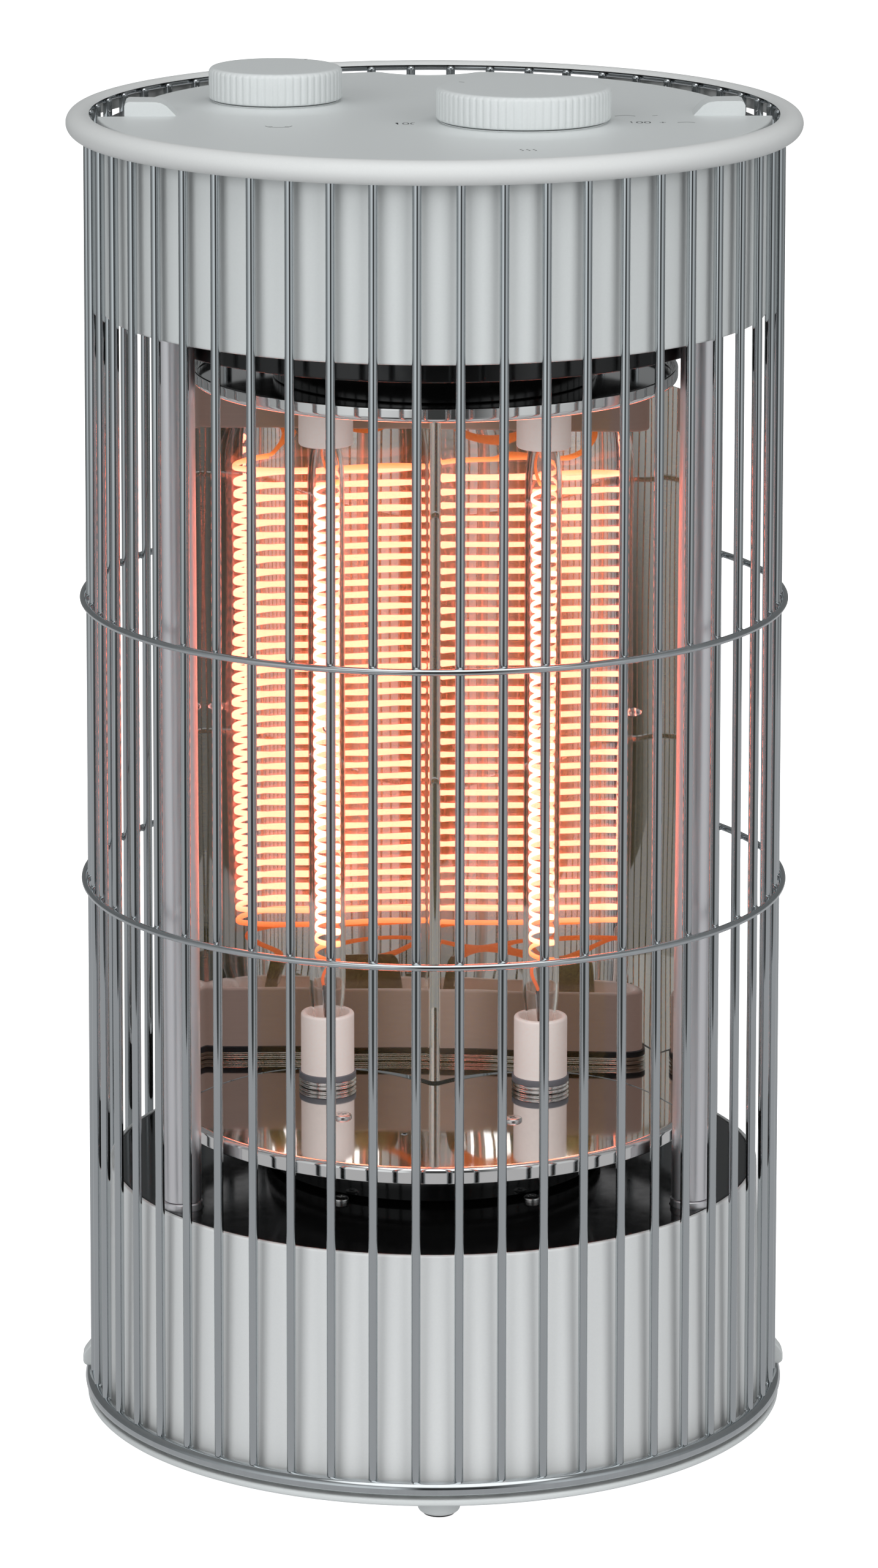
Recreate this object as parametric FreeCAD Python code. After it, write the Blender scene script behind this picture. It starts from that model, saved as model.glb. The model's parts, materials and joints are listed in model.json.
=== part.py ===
import FreeCAD, Part
import math
import os

# Free-standing round carbon heater: a white base drum and a white control drum
# held apart by two aluminium posts, a swinging heater head with two quartz
# tubes in front of a double-trough reflector, and a lift-off wire guard.
# Millimetres, +Z up, front = -Y, origin on the floor under the centre line.

# ---------------------------------------------------------------- dimensions
GUARD_RT, GUARD_RB = 121.0, 123.8   # centre radius of the upright wires at the top and at the bottom
WIRE_D = 3.3
WIRE_N = 52
WIRE_A0 = -93.92           # angle of the first wire, degrees
WIRE_Z0, WIRE_Z1 = 13.2, 479.0
HOOP_D = 2.4
HOOPS = ((204.1, 125.35), (307.2, 124.72))   # height and centre radius of each hoop
RING_R, RING_D, RING_Z = 124.8, 5.2, 15.6
TOPRING_R, TOPRING_D, TOPRING_Z = 123.4, 2.2, 478.1
RIM_R, RIM_A, RIM_B, RIM_Z = 124.0, 4.8, 4.4, 476.2
RIM_ROOF_Z = 479.3
RIM_CUT_DEG = 31.0         # half angle of the hand-hold cut at the back

PAN_R, PAN_Z0, PAN_Z1 = 126.6, 9.6, 12.0
FOOT_R, FOOT_PCR, FOOT_N = 7.5, 106.0, 5
BASE_R, BASE_T, BASE_TOP = 117.6, 1.7, 98.3
PLATE_R, PLATE_Z0, PLATE_Z1 = 115.6, 96.0, 98.2
POST_X, POST_Y, POST_R, POST_T = 90.0, -60.4, 6.7, 1.3
POST_Z0, POST_Z1 = 101.0, 412.0
TOP_R, TOP_T, TOP_Z0, TOP_Z1 = 117.1, 1.7, 410.5, 472.0
UNDER_Z0, UNDER_Z1, UNDER_R = 412.0, 414.5, 115.1
COLLAR_R, COLLAR_T, COLLAR_Z0 = 100.4, 2.0, 401.5
CHASSIS_Z1 = 474.0
PANEL_Z, PANEL_R, PANEL_RREAR, PANEL_STEP_Y = 479.0, 117.9, 106.5, -9.5

POWER_X, POWER_Y, POWER_R = 30.0, -31.7, 30.2
SWING_X, SWING_Y, SWING_R = -55.6, 20.1, 23.5
DIAL_Z0, DIAL_Z1 = 481.2, 492.4
SPINDLE_R = 3.0

HEAD_YAW = -4.5            # the head stands a little off centre in its swing
TUBE_X, TUBE_Y = 38.7, 3.0
BDISC_R, BDISC_Z0, BDISC_Z1 = 96.5, 117.3, 123.3
TDISC_R, TDISC_Z0, TDISC_Z1 = 86.0, 384.9, 390.0
SHEET = 1.2
REFL_VX, REFL_VY, REFL_X, REFL_T = 38.9, 22.1, 87.5, 0.8
CER_R, LCER_Z0, LCER_Z1, UCER_Z0 = 9.3, 127.5, 150.3, 359.8
GLASS_R, GLASS_T, GLASS_Z0, GLASS_Z1 = 6.2, 1.0, 136.0, 372.0
COIL_R, COIL_Z0, COIL_Z1 = 4.6, 170.0, 348.0
NECK_R, NECK_Z1 = 57.0, 411.0
DOME_R, DOME_RT, DOME_Z0 = 61.0, 52.0, 99.6

SHAFT_R, BUSH_CLEAR = 12.0, 0.05
GEAR_M, GEAR_N, PINION_N = 1.25, 56, 16
GEAR_Z0, GEAR_Z1 = 83.0, 88.0
MOTOR_Y = GEAR_M * (GEAR_N + PINION_N) / 2.0

V = FreeCAD.Vector
OUT = "parts"
os.makedirs(OUT, exist_ok=True)


# ------------------------------------------------------------------- helpers
def cyl(r, z0, z1, x=0.0, y=0.0):
    return Part.makeCylinder(r, z1 - z0, V(x, y, z0), V(0, 0, 1))


def tube(ro, ri, z0, z1, x=0.0, y=0.0):
    return cyl(ro, z0, z1, x, y).cut(cyl(ri, z0 - 1, z1 + 1, x, y))


def block(x0, x1, y0, y1, z0, z1):
    return Part.makeBox(x1 - x0, y1 - y0, z1 - z0, V(x0, y0, z0))


def torus(R, r, z):
    return Part.makeTorus(R, r, V(0, 0, z), V(0, 0, 1))


def revolve(pts):
    w = Part.makePolygon([V(p[0], 0, p[1]) for p in pts] + [V(pts[0][0], 0, pts[0][1])])
    return Part.Face(w).revolve(V(0, 0, 0), V(0, 0, 1), 360)


def polar(r, deg):
    a = math.radians(deg)
    return r * math.cos(a), r * math.sin(a)


def fuse(shapes):
    s = shapes[0]
    if len(shapes) > 1:
        s = s.multiFuse(shapes[1:])
    return s.removeSplitter()


def turned(shape, deg):
    s = shape.copy()
    s.rotate(V(0, 0, 0), V(0, 0, 1), deg)
    return s


def save(name, shape):
    solids = shape.Solids
    if len(solids) == 1:
        shape = solids[0]
    else:
        shape = Part.makeCompound(solids)
    assert shape.isValid(), name
    shape.exportStep(os.path.join(OUT, name + ".step"))


def screw(x, y, z, down=True, head_r=3.0, head_h=1.8, shank_r=1.5, length=5.0):
    """Pan-head screw; z is the seat, the shank runs down (or up)."""
    s = -1.0 if down else 1.0
    head = Part.makeCylinder(head_r, head_h, V(x, y, z), V(0, 0, -s))
    rim = [e for e in head.Edges if abs(e.BoundBox.ZMin - (z - s * head_h)) < 1e-6
           and abs(e.BoundBox.ZMax - (z - s * head_h)) < 1e-6]
    head = head.makeFillet(0.9, rim)
    slot = block(x - head_r, x + head_r, y - 0.35, y + 0.35,
                 min(z - s * head_h, z - s * (head_h - 0.7)),
                 max(z - s * head_h, z - s * (head_h - 0.7)))
    slot2 = block(x - 0.35, x + 0.35, y - 1.6, y + 1.6, slot.BoundBox.ZMin, slot.BoundBox.ZMax)
    slot1 = block(x - 1.6, x + 1.6, y - 0.35, y + 0.35, slot.BoundBox.ZMin, slot.BoundBox.ZMax)
    shank = Part.makeCylinder(shank_r, length, V(x, y, z), V(0, 0, s))
    return fuse([head.cut(slot1).cut(slot2), shank])


def holes(pts, r, z0, z1):
    return [cyl(r, z0, z1, p[0], p[1]) for p in pts]


def cut_all(shape, tools):
    return shape.cut(Part.makeCompound(tools)) if tools else shape


# ------------------------------------------------------------- fixing points
posts = [(-POST_X, POST_Y), (POST_X, POST_Y)]
plate_screw_xy = [(34.0, -55.5), (-34.0, -55.5), (34.0, 55.5), (-34.0, 55.5)]
pan_screw_xy = [polar(98.0, a) for a in (-54, 18, 162, 234)]
under_screw_xy = [polar(111.0, a) for a in (-90, 30, 150)]
chassis_screw_xy = [polar(110.5, a) for a in (-60, 0, 45, 135, 180, 240)]
harness_xy = []
for hx, hy in posts[:1]:
    d = math.hypot(hx, hy)
    for da in (-28, 28):
        a = math.atan2(-hy, -hx) + math.radians(da)
        harness_xy.append((hx + 3.85 * math.cos(a), hy + 3.85 * math.sin(a)))
standoff_xy = [(-32.0, MOTOR_Y), (32.0, MOTOR_Y)]
tip_xy = (-48.0, -48.0)

# ------------------------------------------------------------------ base pan
pan = revolve([(0, PAN_Z0), (PAN_R - 1.0, PAN_Z0), (PAN_R - 0.3, PAN_Z0 + 0.3), (PAN_R, PAN_Z0 + 1.0),
               (PAN_R, PAN_Z1 - 0.8), (PAN_R - 0.25, PAN_Z1 - 0.25), (PAN_R - 0.8, PAN_Z1),
               (115.3, PAN_Z1), (115.3, 17.0), (112.8, 17.0), (112.8, PAN_Z1), (0, PAN_Z1)])
feet_xy = [polar(FOOT_PCR, -90 + i * 360.0 / FOOT_N) for i in range(FOOT_N)]
pan = fuse([pan] + [cyl(FOOT_R, 0.7, PAN_Z0 + 0.5, x, y) for x, y in feet_xy]
           + [cyl(6.0, PAN_Z1 - 0.5, 20.0, *tip_xy)]
           + [cyl(4.5, PAN_Z1 - 0.5, 20.0, x, y) for x, y in pan_screw_xy])
pan = cut_all(pan, [cyl(3.55, 5, 30, *tip_xy)] + holes(pan_screw_xy, 1.65, 9.0, 17.5)
              + holes(feet_xy, 3.0, 0.5, 6.2))
save("base_pan", pan)
save("foot_pads", Part.makeCompound([fuse([revolve([(0, 0), (5.4, 0), (5.7, 0.3), (5.7, 0.7), (0, 0.7)]),
                                           cyl(2.8, 0.6, 6.0)]).translated(V(x, y, 0)) for x, y in feet_xy]))
save("pan_screws", Part.makeCompound([screw(x, y, PAN_Z0, down=False, length=7.5) for x, y in pan_screw_xy]))

# cord gland: a clamp block under the back of the pan, empty of its cord
gland = block(-9, 9, 90, 112, 3.2, PAN_Z0)
gland = gland.makeFillet(1.5, [e for e in gland.Edges if abs(e.BoundBox.ZMax - e.BoundBox.ZMin) > 3])
gland = gland.cut(Part.makeCylinder(2.6, 16, V(0, 97, 6.3), V(0, 1, 0)))
save("cord_gland", gland)

# ----------------------------------------------------------------- base drum
drum = tube(BASE_R, BASE_R - BASE_T, PAN_Z1, BASE_TOP)
drum = fuse([drum, tube(BASE_R - 1.0, 111.8, 92.5, PLATE_Z0)]
            + [cyl(7.2, 72.0, POST_Z0, x, y) for x, y in posts]
            + [turned(block(106.0, BASE_R - 0.9, -4.5, 4.5, 72.0, BASE_TOP), math.degrees(math.atan2(y, x))) for x, y in posts])
drum = cut_all(drum, holes(posts, 2.7, 60, 110) + holes(harness_xy, 1.45, 60, 110))
save("base_drum", drum)

plate = cyl(PLATE_R, PLATE_Z0, PLATE_Z1)
plate = cut_all(plate, holes(posts, 7.5, 90, 100)
                + [turned(block(106.0, BASE_R, -4.8, 4.8, 90.0, 100.0), math.degrees(math.atan2(y, x))) for x, y in posts]
                + [cyl(16.0, 90, 100)] + holes(plate_screw_xy, 1.65, 90, 100))
save("base_top_plate", plate)
save("plate_screws", Part.makeCompound([screw(x, y, PLATE_Z1, length=5.4) for x, y in plate_screw_xy]))

carrier = cyl(74.0, 92.0, PLATE_Z0)
carrier = cut_all(carrier, [cyl(16.0, 90, 100)] + holes(plate_screw_xy, 1.65, 90, 100)
                  + holes(standoff_xy, 2.05, 90, 97))
save("bearing_carrier", carrier)
bush = fuse([tube(15.8, SHAFT_R + BUSH_CLEAR, 89.0, 99.0), tube(26.0, SHAFT_R + BUSH_CLEAR, 89.0, 92.0)])
save("lower_bush", bush)

# -------------------------------------------------------- swing drive in base
motor = fuse([cyl(25.0, 56.0, 74.5, 0, MOTOR_Y), cyl(8.0, 74.0, 78.0, 0, MOTOR_Y),
              block(-37, 37, MOTOR_Y - 6, MOTOR_Y + 6, 73.3, 74.5)])
motor = cut_all(motor, [cyl(3.05, 64.0, 80.0, 0, MOTOR_Y)] + holes(standoff_xy, 2.05, 70, 76))
save("swing_motor", motor)
save("motor_standoffs", Part.makeCompound([fuse([cyl(3.2, 74.5, 92.0, x, y), cyl(2.0, 71.0, 95.0, x, y),
                                                 Part.makeCylinder(3.2, 2.3, V(x, y, 71.0))])
                                           for x, y in standoff_xy]))


def gear_face(module, teeth, phase_deg, thin):
    """Involute outline, 20 degree pressure angle, thinned for running clearance."""
    rp = module * teeth / 2.0
    rb = rp * math.cos(math.radians(20))
    ra = rp + 0.9 * module
    rf = rp - 1.25 * module
    inv = lambda a: math.tan(a) - a
    half = math.pi / (2 * teeth) - thin / (2 * rp) + inv(math.radians(20))
    flank = []
    r0 = max(rb, rf + 0.15)
    for i in range(5):
        r = r0 + (ra - r0) * i / 4.0
        al = math.acos(min(1.0, rb / r))
        flank.append((r, half - inv(al)))
    pts = []
    for k in range(teeth):
        c = math.radians(phase_deg) + 2 * math.pi * k / teeth
        pts.append((rf, c - flank[0][1] - 0.15 / rf))
        pts += [(r, c - t) for r, t in flank]
        pts += [(r, c + t) for r, t in reversed(flank)]
        pts.append((rf, c + flank[0][1] + 0.15 / rf))
    v = [V(r * math.cos(a), r * math.sin(a), 0) for r, a in pts]
    return Part.Face(Part.makePolygon(v + [v[0]]))


gear = gear_face(GEAR_M, GEAR_N, 90.0 + 180.0 / GEAR_N, 0.18).extrude(V(0, 0, GEAR_Z1 - GEAR_Z0))
gear.translate(V(0, 0, GEAR_Z0))
gear = fuse([gear, cyl(17.0, GEAR_Z0 - 1.0, GEAR_Z1)])
gear = cut_all(gear, [cyl(SHAFT_R + 0.05, 70, 95)] + holes([polar(25.0, 45 + 90 * i) for i in range(4)], 5.0, 70, 95))
save("swing_gear", gear)
pin = gear_face(GEAR_M, PINION_N, -90.0, 0.18).extrude(V(0, 0, GEAR_Z1 - GEAR_Z0))
pin.translate(V(0, MOTOR_Y, GEAR_Z0))
pin = fuse([pin, cyl(3.0, 66.0, GEAR_Z1, 0, MOTOR_Y), cyl(6.0, 79.0, GEAR_Z0 + 0.5, 0, MOTOR_Y)])
save("motor_pinion", pin)

# ------------------------------------------------------ small parts in the base
tx, ty = tip_xy
tip = fuse([cyl(3.5, 0.4, 30.0, tx, ty), cyl(5.4, 25.0, 27.0, tx, ty)])
tip = tip.makeFillet(0.8, [e for e in tip.Edges if e.BoundBox.ZMax < 0.5])
save("tip_plunger", tip)
tips = fuse([block(tx - 11, tx + 11, ty - 7, ty + 7, 31.0, 50.0),
             block(tx - 11, tx - 8.5, ty - 7, ty + 7, PAN_Z1, 32.0),
             block(tx + 8.5, tx + 11, ty - 7, ty + 7, PAN_Z1, 32.0)])
save("tip_switch", tips)
term = block(38, 70, -34, -14, PAN_Z1, 28.0)
term = term.makeFillet(1.2, term.Edges)
term = cut_all(term, [cyl(2.2, 20, 40, 44 + 6.6 * i, -24) for i in range(4)])
save("terminal_block", term)

# ----------------------------------------------------------- posts, tie rods
for nm, (x, y) in zip(("left_post", "right_post"), posts):
    save(nm, tube(POST_R, POST_R - POST_T, POST_Z0, POST_Z1, x, y))
save("tie_rods", Part.makeCompound([cyl(2.35, 64.0, 424.0, x, y) for x, y in posts]))


def nut(x, y, z0):
    hexa = Part.makePolygon([V(x + 4.6 * math.cos(math.radians(60 * i)), y + 4.6 * math.sin(math.radians(60 * i)), z0)
                             for i in range(7)])
    return Part.Face(hexa).extrude(V(0, 0, 4.0)).cut(cyl(2.4, z0 - 1, z0 + 6, x, y))


# bottom nuts turned clear of the two leads that run beside the rod
bn = []
for x, y in posts:
    bn.append(tube(4.6, 2.4, 68.0, 72.0, x, y))
bn = [s.cut(Part.makeCompound(holes(harness_xy, 1.45, 60, 80))) for s in bn]
tn = [nut(x, y, UNDER_Z1).cut(Part.makeCompound(holes(harness_xy, 1.45, 400, 440))) for x, y in posts]
save("tie_rod_nuts", Part.makeCompound(bn + tn))
save("harness", Part.makeCompound([cyl(1.2, 40.0, 446.0, x, y) for x, y in harness_xy]))

# ------------------------------------------------------------------ top drum
tdrum = tube(TOP_R, TOP_R - TOP_T, TOP_Z0, TOP_Z1)
tdrum = fuse([tdrum, tube(TOP_R - 1.0, 107.5, UNDER_Z1, 418.0), tube(TOP_R - 1.0, 106.5, 468.5, TOP_Z1)])
tdrum = cut_all(tdrum, holes(posts, 8.2, 410, 430) + holes(under_screw_xy, 1.65, 410, 430)
                + holes(chassis_screw_xy, 1.65, 460, 480))
tdrum = tdrum.common(cyl(TOP_R, TOP_Z0 - 1, TOP_Z1 + 1))
# keep the outer wall whole where the ledge is relieved round the posts
tdrum = fuse([tdrum, tube(TOP_R, TOP_R - TOP_T, TOP_Z0, TOP_Z1)])
save("top_drum", tdrum)
under = fuse([cyl(UNDER_R, UNDER_Z0, UNDER_Z1), tube(COLLAR_R, COLLAR_R - COLLAR_T, COLLAR_Z0, UNDER_Z0 + 0.5)])
under = cut_all(under, [cyl(9.0, 400, 430)] + holes(posts, 2.7, 400, 430) + holes(harness_xy, 1.45, 400, 430)
                + holes(under_screw_xy, 1.65, 400, 430))
save("top_under_plate", under)
save("under_plate_screws", Part.makeCompound([screw(x, y, UNDER_Z0, down=False, head_r=2.9, length=5.5)
                                              for x, y in under_screw_xy]))
ub = fuse([tube(8.9, 5.05, 411.6, 421.0), tube(15.0, 5.05, UNDER_Z1, 417.0)])
save("upper_bush", ub)
chas = cyl(TOP_R - 0.1, TOP_Z1, CHASSIS_Z1)
chas = cut_all(chas, [cyl(6.2, 460, 480, POWER_X, POWER_Y), cyl(6.2, 460, 480, SWING_X, SWING_Y)]
               + holes(chassis_screw_xy, 1.65, 460, 480) + [cyl(7.0, 460, 480, 0, 40)])
save("top_chassis_plate", chas)
save("chassis_screws", Part.makeCompound([screw(x, y, CHASSIS_Z1, head_r=2.9, head_h=1.6, length=5.0)
                                          for x, y in chassis_screw_xy[2:4]]))
cutout = fuse([cyl(8.0, UNDER_Z1, 422.0, -40, 45), block(-52, -28, 42, 48, UNDER_Z1, 416.0)])
save("thermal_cutout", cutout)

# control panel: front half reaches the rim, the rear half is set back
front = cyl(PANEL_R, CHASSIS_Z1, PANEL_Z).common(block(-150, 150, -150, PANEL_STEP_Y, 400, 500))
rear = cyl(PANEL_RREAR, CHASSIS_Z1, PANEL_Z)
panel = fuse([front, rear])
fi = cyl(PANEL_R - 2.4, CHASSIS_Z1, 476.6).common(block(-150, 150, -150, PANEL_STEP_Y - 2.4, 400, 500))
ri = cyl(PANEL_RREAR - 2.4, CHASSIS_Z1, 476.6)
panel = panel.cut(fuse([fi, ri]))


def boss(x, y, r):
    pts = [(0, PANEL_Z - 1.0), (r + 9.0, PANEL_Z - 1.0), (r + 9.0, PANEL_Z), (r + 5.0, PANEL_Z + 0.15),
           (r + 2.5, PANEL_Z + 0.55), (r + 0.6, PANEL_Z + 1.1), (r - 0.4, PANEL_Z + 1.3),
           (r - 1.2, PANEL_Z + 1.3), (r - 1.2, DIAL_Z0 - 0.35), (0, DIAL_Z0 - 0.35)]
    return revolve(pts).translated(V(x, y, 0))


lugs = []
for sx in (-1, 1):
    pr = [(90.0, PANEL_Z - 0.5), (90.0, PANEL_Z), (91.5, PANEL_Z + 1.6), (93.4, PANEL_Z + 3.6), (95.6, PANEL_Z + 4.6),
          (106.6, PANEL_Z + 5.0), (107.6, PANEL_Z + 4.4), (108.0, PANEL_Z + 3.4), (108.0, CHASSIS_Z1), (103.0, CHASSIS_Z1),
          (103.0, PANEL_Z - 0.5)]
    w = Part.makePolygon([V(sx * p[0], PANEL_STEP_Y, p[1]) for p in pr] + [V(sx * pr[0][0], PANEL_STEP_Y, pr[0][1])])
    lugs.append(Part.Face(w).extrude(V(0, 12.5, 0)))
panel = fuse([panel, boss(POWER_X, POWER_Y, POWER_R), boss(SWING_X, SWING_Y, SWING_R)] + lugs)
scoop = Part.makeSphere(30.0, V(0, PANEL_RREAR + 12.0, PANEL_Z + 20.0))
panel = panel.cut(scoop)
panel = cut_all(panel, [cyl(SPINDLE_R + 0.05, 460, 490, POWER_X, POWER_Y),
                        cyl(SPINDLE_R + 0.05, 460, 490, SWING_X, SWING_Y)])
# lower tabs inside the panel that stand on the chassis plate
panel = fuse([panel] + [tube(5.0, 1.7, CHASSIS_Z1, 477.0, x, y) for x, y in ((0, -95), (80, 30), (-80, -40))])
save("top_panel", panel)

# --------------------------------------------------------- dials and switches
for nm, x, y, r in (("power", POWER_X, POWER_Y, POWER_R), ("swing", SWING_X, SWING_Y, SWING_R)):
    knob = revolve([(0, DIAL_Z0), (r - 0.5, DIAL_Z0), (r, DIAL_Z0 + 0.5), (r, DIAL_Z1 - 1.9), (r - 0.45, DIAL_Z1 - 0.8),
                    (r - 1.2, DIAL_Z1 - 0.2), (r - 2.2, DIAL_Z1), (0, DIAL_Z1)]).translated(V(x, y, 0))
    n = int(round(2 * math.pi * r / 2.75))
    ribs = [cyl(0.5, DIAL_Z0 - 1, DIAL_Z1 + 1, x + (r + 0.16) * math.cos(2 * math.pi * i / n),
                y + (r + 0.16) * math.sin(2 * math.pi * i / n)) for i in range(n)]
    knob = knob.cut(Part.makeCompound(ribs))
    knob = knob.cut(cyl(SPINDLE_R + 0.05, 470, 488.0, x, y))
    save(nm + "_knob", knob)
    save(nm + "_spindle", cyl(SPINDLE_R, 459.5, 487.8, x, y))
    sw = fuse([block(x - 14, x + 14, y - 14, y + 14, 453.0, 470.0), cyl(6.0, 469.0, 473.0, x, y),
               block(x - 10, x - 8, y - 18, y - 13, 455, 456), block(x + 8, x + 10, y - 18, y - 13, 455, 456),
               block(x - 14, x + 14, y - 3, y + 3, 469.5, TOP_Z1)])
    sw = sw.cut(cyl(SPINDLE_R + 0.05, 459.0, 480.0, x, y))
    save(nm + "_switch", sw)

# --------------------------------------------------------------- heater head
tubes_xy = [(-TUBE_X, TUBE_Y), (TUBE_X, TUBE_Y)]
dscrew_xy = [(-30.5, -37.7), (30.5, -37.7), (-30.5, 37.7), (30.5, 37.7)]
bdisc = cyl(BDISC_R, BDISC_Z0, BDISC_Z1)
bdisc = bdisc.makeFillet(1.6, [e for e in bdisc.Edges if e.BoundBox.ZMin > BDISC_Z1 - 0.01])
bdisc = bdisc.cut(cyl(BDISC_R - SHEET, BDISC_Z0 - 1, BDISC_Z1 - SHEET))
bdisc = cut_all(bdisc, holes(dscrew_xy, 1.65, 110, 130) + holes(tubes_xy, 4.0, 110, 130)
                + [cyl(1.2, 110, 130, -7.0, -57.0), cyl(8.0, 110, 130, 0, 33)])
save("bottom_disc", turned(bdisc, HEAD_YAW))
save("disc_screws", turned(Part.makeCompound([screw(x, y, BDISC_Z1, length=4.5) for x, y in dscrew_xy]), HEAD_YAW))

tdisc = cyl(TDISC_R, TDISC_Z0, TDISC_Z1)
tdisc = tdisc.makeFillet(1.6, [e for e in tdisc.Edges if e.BoundBox.ZMax < TDISC_Z0 + 0.01])
tdisc = tdisc.cut(cyl(TDISC_R - SHEET, TDISC_Z0 + SHEET, TDISC_Z1 + 1))
tscrew_xy = [(-30.5, -22.0), (30.5, -22.0), (-24.0, 40.0), (24.0, 40.0)]
tdisc = cut_all(tdisc, holes(tscrew_xy, 1.65, 380, 395) + holes(tubes_xy, 4.0, 380, 395) + [cyl(8.0, 380, 395, 0, 33)])
save("top_disc", turned(tdisc, HEAD_YAW))
save("top_disc_screws", turned(Part.makeCompound([screw(x, y, TDISC_Z0, down=False, length=5.0) for x, y in tscrew_xy]),
                               HEAD_YAW))


def flank(x):
    """Angle of the trough sheet against the front, in radians, at x from the middle."""
    q = x - REFL_VX
    if q < 0:
        return math.radians(1.2104 * q + 0.0000161 * q ** 3)
    return math.radians(min(60.0, 1.2104 * q + 0.014543 * q * q - 0.0002394 * q ** 3))


def trough(x):
    """Depth of the front face at x, summed from the deepest line outwards."""
    n = 200
    st = (x - REFL_VX) / n
    return REFL_VY - sum(math.tan(flank(REFL_VX + (k + 0.5) * st)) * st for k in range(n))


lobes = []
for sx in (-1, 1):
    n = 18
    inner, outer = [], []
    for i in range(n + 1):
        x = REFL_X * i / n
        y, a = trough(x), flank(x)
        inner.append(V(sx * x, y, BDISC_Z1))
        if i == 0:
            outer.append(V(0, y + REFL_T / math.cos(a), BDISC_Z1))
        else:
            outer.append(V(sx * (x + REFL_T * math.sin(a)), y + REFL_T * math.cos(a), BDISC_Z1))
    a = Part.BSplineCurve(); a.interpolate(inner)
    b = Part.BSplineCurve(); b.interpolate(outer)
    w = Part.Wire([a.toShape(), Part.LineSegment(inner[-1], outer[-1]).toShape(), b.toShape(),
                   Part.LineSegment(outer[0], inner[0]).toShape()])
    lobes.append(Part.Face(w).extrude(V(0, 0, TDISC_Z0 - BDISC_Z1)))
refl = fuse(lobes)
save("reflector", turned(refl, HEAD_YAW))
# folded channel behind the central ridge that carries the upper leads
chan = block(-7.0, 7.0, 24.6, 36.5, BDISC_Z1, TDISC_Z0).cut(block(-6.2, 6.2, 25.4, 35.7, 100, 400))
ears = [block(-40.0, 40.0, 23.3, 24.6, z, z + 10.0) for z in (150.0, 348.0)]
save("lead_channel", turned(fuse([chan] + ears), HEAD_YAW))

mk = Part.makeCompound
save("quartz_tubes", turned(mk([tube(GLASS_R, GLASS_R - GLASS_T, GLASS_Z0, GLASS_Z1, x, y) for x, y in tubes_xy]), HEAD_YAW))
save("filaments", turned(mk([tube(COIL_R, COIL_R - 0.9, COIL_Z0, COIL_Z1, x, y) for x, y in tubes_xy]), HEAD_YAW))
leads = []
for x, y in tubes_xy:
    leads.append(fuse([cyl(0.7, 129.0, COIL_Z0 - 0.3, x, y), cyl(COIL_R, COIL_Z0 - 0.8, COIL_Z0, x, y)]))
    leads.append(fuse([cyl(0.7, COIL_Z1 + 0.3, 380.0, x, y), cyl(COIL_R, COIL_Z1, COIL_Z1 + 0.8, x, y)]))
save("filament_leads", turned(mk(leads), HEAD_YAW))
lc, uc, fe = [], [], []
for x, y in tubes_xy:
    c = cyl(CER_R, LCER_Z0, LCER_Z1, x, y)
    c = c.makeFillet(0.7, [e for e in c.Edges if e.BoundBox.ZMin > LCER_Z1 - 0.01])
    lc.append(c.cut(cyl(6.6, 135.0, 170, x, y)).cut(cyl(1.0, 100, 170, x, y)))
    c = cyl(CER_R, UCER_Z0, TDISC_Z0, x, y)
    c = c.makeFillet(0.7, [e for e in c.Edges if e.BoundBox.ZMax < UCER_Z0 + 0.01])
    uc.append(c.cut(cyl(6.6, 340, 373.0, x, y)).cut(cyl(1.0, 340, 400, x, y)))
    fe.append(fuse([tube(9.9, 5.0, BDISC_Z1, 124.3, x, y), tube(9.6, 5.0, 124.3, LCER_Z0, x, y),
                    Part.makeTorus(9.5, 0.45, V(x, y, 125.0), V(0, 0, 1)),
                    Part.makeTorus(9.5, 0.45, V(x, y, 126.2), V(0, 0, 1))]))
save("lower_ceramics", turned(mk(lc), HEAD_YAW))
save("upper_ceramics", turned(mk(uc), HEAD_YAW))
save("lower_ferrules", turned(mk(fe), HEAD_YAW))

# black turntable under the head: domed skirt, top plate and hub
prof = [(SHAFT_R + 0.05, DOME_Z0), (18.0, DOME_Z0), (18.0, 119.6), (DOME_RT - 2.6, 119.6)]
skin = []
for i in range(9):
    t = math.radians(90.0 * i / 8)
    skin.append((DOME_RT + (DOME_R - DOME_RT) * math.cos(t), DOME_Z0 + 4.0 + 14.0 * math.sin(t)))
inner = [(max(r - 2.6, DOME_RT - 2.6), z - (1.2 if 0 < i < 8 else 0)) for i, (r, z) in enumerate(skin)]
prof += [(DOME_RT - 2.6, 117.0)] + [(r, z) for r, z in reversed(inner[:-1])] + [(DOME_R - 2.6, DOME_Z0), (DOME_R, DOME_Z0)]
prof += skin + [(DOME_RT, BDISC_Z1 - SHEET), (SHAFT_R + 0.05, BDISC_Z1 - SHEET)]
turn = revolve(prof)
turn = cut_all(turn, holes(dscrew_xy, 1.65, 115, 130) + [cyl(5.0, 110, 130, 0, 33)] + holes(tubes_xy, 4.0, 116, 130))
save("turntable", turned(turn, HEAD_YAW))
shaft = tube(SHAFT_R, 9.0, GEAR_Z0 - 1.0, BDISC_Z1 - SHEET)
save("pivot_shaft", shaft)
neck = cyl(NECK_R, TDISC_Z0 + SHEET, NECK_Z1)
neck = neck.cut(cyl(NECK_R - 2.5, TDISC_Z0 + SHEET + 3.0, NECK_Z1 - 2.5))
neck = cut_all(neck, [cyl(5.1, 400, 420)] + holes(tscrew_xy, 1.65, 380, 392) + holes(tubes_xy, 4.0, 380, 392)
               + [cyl(5.0, 380, 392, 0, 33)])
save("neck", turned(neck, HEAD_YAW))
save("upper_pivot_pin", fuse([cyl(5.0, 403.0, 422.0), cyl(10.0, 404.0, NECK_Z1 - 2.5)]))

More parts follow.
